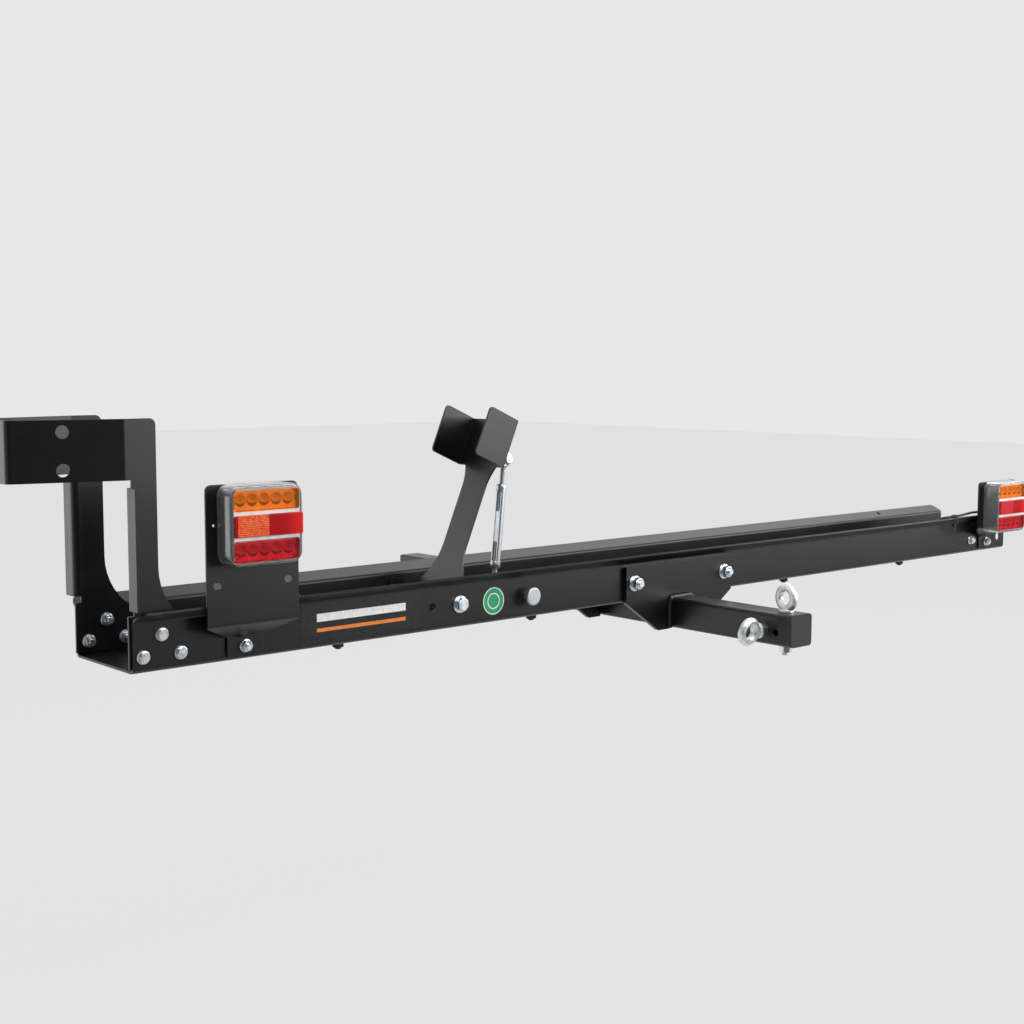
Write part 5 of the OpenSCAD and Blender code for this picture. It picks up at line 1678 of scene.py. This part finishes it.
@dataclass(frozen=True)
class Labels:
    """Plain labels on the near wall: a dark one with two level stripes, and a round green one."""

    side: Pair = (346.0, 33.5)
    width: float = 201.0
    height: float = 56.0
    corner: float = 5.0
    disc: Pair = (585.0, 32.0)
    disc_d: float = 42.0
    film: float = 0.45
    ink: float = 0.05
    rim: float = 0.1
    # The stripes: lowest and highest edge from the label's middle, and the print that each has
    stripe_length: float = 150.0
    stripes: tuple[tuple[float, float, int], ...] = ((2.0, 13.0, 1), (-12.0, -7.0, 2))
    # The round label's lines: distance from its rim, and width
    rings: tuple[Pair, ...] = ((0.9, 1.2), (9.0, 1.6))

    def ring(self, outline: Array, normals: Array, inset: float, width: float) -> Patch:
        """Printed line: the outline offset by inset, this wide and as thick as the ink.

        Args:
            outline: Loop of x and y.
            normals: Outward normals of the loop.
            inset: Distance from the outline.
            width: Width of the line.

        Returns:
            The closed patch.
        """
        low, high = self.film, self.film + self.ink
        rows = ((inset, low), (inset, high), (inset + width, high), (inset + width, low))
        return Patch(np.stack([on_height(outline - offset * normals, height) for offset, height in rows]),
                     wrap_rows=True, finish=1)

    def stripe(self, low: float, high: float, finish: int) -> Patch:
        """Printed stripe with square ends, level along the middle of the label.

        Args:
            low: Lower edge.
            high: Upper edge.
            finish: Number of the print's finish.

        Returns:
            The closed patch.
        """
        half = self.stripe_length / 2
        flat = np.array(((-half, low), (half, low), (half, high), (-half, high)), float)
        rows = [on_height(flat, height) for height in (self.film - 0.1, self.film + self.ink)]
        return Patch(capped(np.stack(rows)), finish=finish)

    def build(self) -> None:
        """Both labels on the near wall's outer face."""
        outline, normals = rounded_loop(self.width, self.height, self.corner, 6, 6)
        side = [slab(outline, normals, 0.0, self.film, self.rim, 1)] + [self.stripe(*s) for s in self.stripes]
        circle = fillet((0.0, 0.0), self.disc_d / 2, 0, 360, 64)[:-1]
        out = circle / np.linalg.norm(circle, axis=1, keepdims=True)
        disc = [slab(circle, out, 0.0, self.film, self.rim, 1)] + [self.ring(circle, out, *r) for r in self.rings]
        for node, patches, (x, z), finishes in (
                ("side_label", side, self.side, [LABEL_FILM, WHITE_PRINT, ORANGE_PRINT]),
                ("round_label", disc, self.disc, [GREEN_FILM, WHITE_PRINT])):
            write_piece(f"{node}_plain", placed(patches, [Place((x, 0.0, z), z_axis=(0.0, -1.0, 0.0))]), finishes,
                        node)


# Studio


@dataclass(frozen=True)
class SoftBox:
    """Rectangular studio light that looks at a point."""

    name: str
    place: Vector3
    target: Vector3
    size: Pair
    power: float

    def build(self) -> None:
        """Adds the light."""
        data = bpy.data.lights.new(self.name, "AREA")
        data.shape, data.energy = "RECTANGLE", self.power
        data.size, data.size_y = self.size
        light = bpy.data.objects.new(self.name, data)
        bpy.context.scene.collection.objects.link(light)
        back = Matrix.Translation(self.place).to_translation() - Matrix.Translation(self.target).to_translation()
        light.location = self.place
        light.rotation_euler = back.to_track_quat("Z", "Y").to_euler()


@dataclass(frozen=True)
class Studio:
    """Pale floor and backdrop, soft lights, and the camera of the photograph."""

    camera_place: Vector3 = (-1.8484, -2.3424, 0.4079)
    # Turns about the way up, the way right and the way it looks, in radians
    yaw: float = 0.72390
    pitch: float = 0.09827
    roll: float = 0.00197
    # Focal length on a sensor 36 mm wide
    lens: float = 53.05
    backdrop: str = "#e8e8e8"
    floor_colour: str = "#bcbcbc"
    floor_z: float = -0.5
    # The floor ends in front of the object, and the room behind the camera is dark
    floor_low: Pair = (-14.0, -1.5)
    floor_high: Pair = (14.0, 16.0)
    # Share of the floor that is lit, so that the object's shadow stays on it
    floor_lit: float = 0.1
    world_light: float = 0.8
    # How far the dark reaches from the way in front: cosines of where it starts and is full, and its level
    dark_span: Pair = (0.0, 0.3)
    dark_level: float = 0.12
    boxes: tuple[SoftBox, ...] = field(default_factory=lambda: (
        SoftBox("left_softbox", (-2.3, 2.0, 0.5), (-0.9, -0.6, 0.1), (2.4, 2.0), 19.0),
        SoftBox("top_softbox", (2.2, 0.4, 2.3), (0.3, -0.5, 0.0), (3.0, 2.6), 30.0),
        SoftBox("right_softbox", (2.0, -2.9, 0.78), (0.2, -0.6, 0.1), (3.6, 1.6), 84.0),
        SoftBox("key_softbox", (-0.6, -2.9, 2.8), (0.0, -0.6, 0.0), (2.2, 2.2), 78.0),
    ))

    def seen(self, tree: Tree) -> Socket:
        """One for rays that see the backdrop: the camera's, and those mirrored by or passed through the object.

        Args:
            tree: Node tree to add to.

        Returns:
            One for such rays, else zero.
        """
        path = add_node(tree, "LightPath")
        first = calculate(tree, "MAXIMUM", path.outputs["Is Camera Ray"], path.outputs["Is Glossy Ray"])
        return calculate(tree, "MAXIMUM", first, path.outputs["Is Transmission Ray"])

    def build_world(self) -> None:
        """World that looks like the backdrop and lights the object softly, darker behind the camera."""
        world = bpy.data.worlds.new("studio_world")
        bpy.context.scene.world = world
        world.use_nodes = True
        tree = world.node_tree
        tree.nodes.clear()
        way = add_node(tree, "SeparateXYZ", {"Vector": add_node(tree, "TexCoord").outputs["Generated"]})
        level = mapped(tree, calculate(tree, "MULTIPLY", way.outputs["Y"], -1.0), *self.dark_span, 1.0,
                       self.dark_level, interpolation_type="SMOOTHSTEP")
        light = add_node(tree, "Background", {"Color": (1.0, 1.0, 1.0, 1.0),
                                              "Strength": calculate(tree, "MULTIPLY", level, self.world_light)})
        plain = calculate(tree, "MAXIMUM", level, add_node(tree, "LightPath").outputs["Is Camera Ray"])
        shown = add_node(tree, "Background", {"Color": linear(self.backdrop), "Strength": plain})
        mixed = add_node(tree, "MixShader", {0: self.seen(tree), 1: light.outputs[0], 2: shown.outputs[0]})
        add_node(tree, "OutputWorld", {"Surface": mixed.outputs[0]})

    def build_floor(self) -> None:
        """Pale floor that looks like the backdrop and keeps the object's shadow in its lit share."""
        mesh = bpy.data.meshes.new("studio_floor")
        (west, south), (east, north) = self.floor_low, self.floor_high
        corners = ((west, south), (east, south), (east, north), (west, north))
        mesh.from_pydata([(x, y, self.floor_z) for x, y in corners], [], [(0, 1, 2, 3)])
        floor = bpy.data.objects.new("studio_floor", mesh)
        bpy.context.scene.collection.objects.link(floor)
        material = bpy.data.materials.new("pale_floor")
        material.use_nodes = True
        tree = material.node_tree
        tree.nodes.clear()
        matt = add_node(tree, "BsdfDiffuse", {"Color": linear(self.floor_colour)})
        shown = add_node(tree, "Emission", {"Color": linear(self.backdrop), "Strength": 1.0})
        share = calculate(tree, "MULTIPLY", self.seen(tree), 1 - self.floor_lit)
        mixed = add_node(tree, "MixShader", {0: share, 1: matt.outputs[0], 2: shown.outputs[0]})
        add_node(tree, "OutputMaterial", {"Surface": mixed.outputs[0]})
        mesh.materials.append(material)

    def build_camera(self) -> None:
        """Camera at the place, angle and focal length worked out from the photograph's edges."""
        data = bpy.data.cameras.new("photo_camera")
        data.lens, data.sensor_width, data.sensor_fit = self.lens, 36.0, "AUTO"
        data.clip_start, data.clip_end = 0.05, 200.0
        camera = bpy.data.objects.new("photo_camera", data)
        bpy.context.scene.collection.objects.link(camera)
        camera.matrix_world = (Matrix.Translation(self.camera_place) @ Matrix.Rotation(-self.yaw, 4, "Z")
                               @ Matrix.Rotation(math.pi / 2 - self.pitch, 4, "X")
                               @ Matrix.Rotation(self.roll, 4, "Z"))
        bpy.context.scene.camera = camera

    def build(self) -> None:
        """Everything round the object."""
        bpy.context.scene.view_settings.view_transform = "Standard"
        self.build_world()
        self.build_floor()
        for box in self.boxes:
            box.build()
        self.build_camera()


def main() -> None:
    """Loads the frame, builds the studio, dresses the kept sheets and builds the sub-assemblies in order."""
    logging.basicConfig(level=logging.INFO, format="%(name)s: %(message)s")
    for stock in list(bpy.data.objects):
        bpy.data.objects.remove(stock)
    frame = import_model()
    Studio().build()
    FoldedSheets().dress(frame["nodes"])
    for assembly in (ChockFasteners(), HitchSaddle(), Eyebolts(), SupportPivots(), Turnbuckle(), ClevisPin(),
                     WallBolts(), Lamp("left_lamp", *LAMP_CENTRES[0]),
                     # The right lamp's reflex cells get a darker painted reflection than the left one's
                     Lamp("right_lamp", *LAMP_CENTRES[1], ("#d4383a", "#c62c30", "#a81a20")),
                     LampFixings(), LampCable(), Labels()):
        assembly.build()


if __name__ == "__main__":
    main()
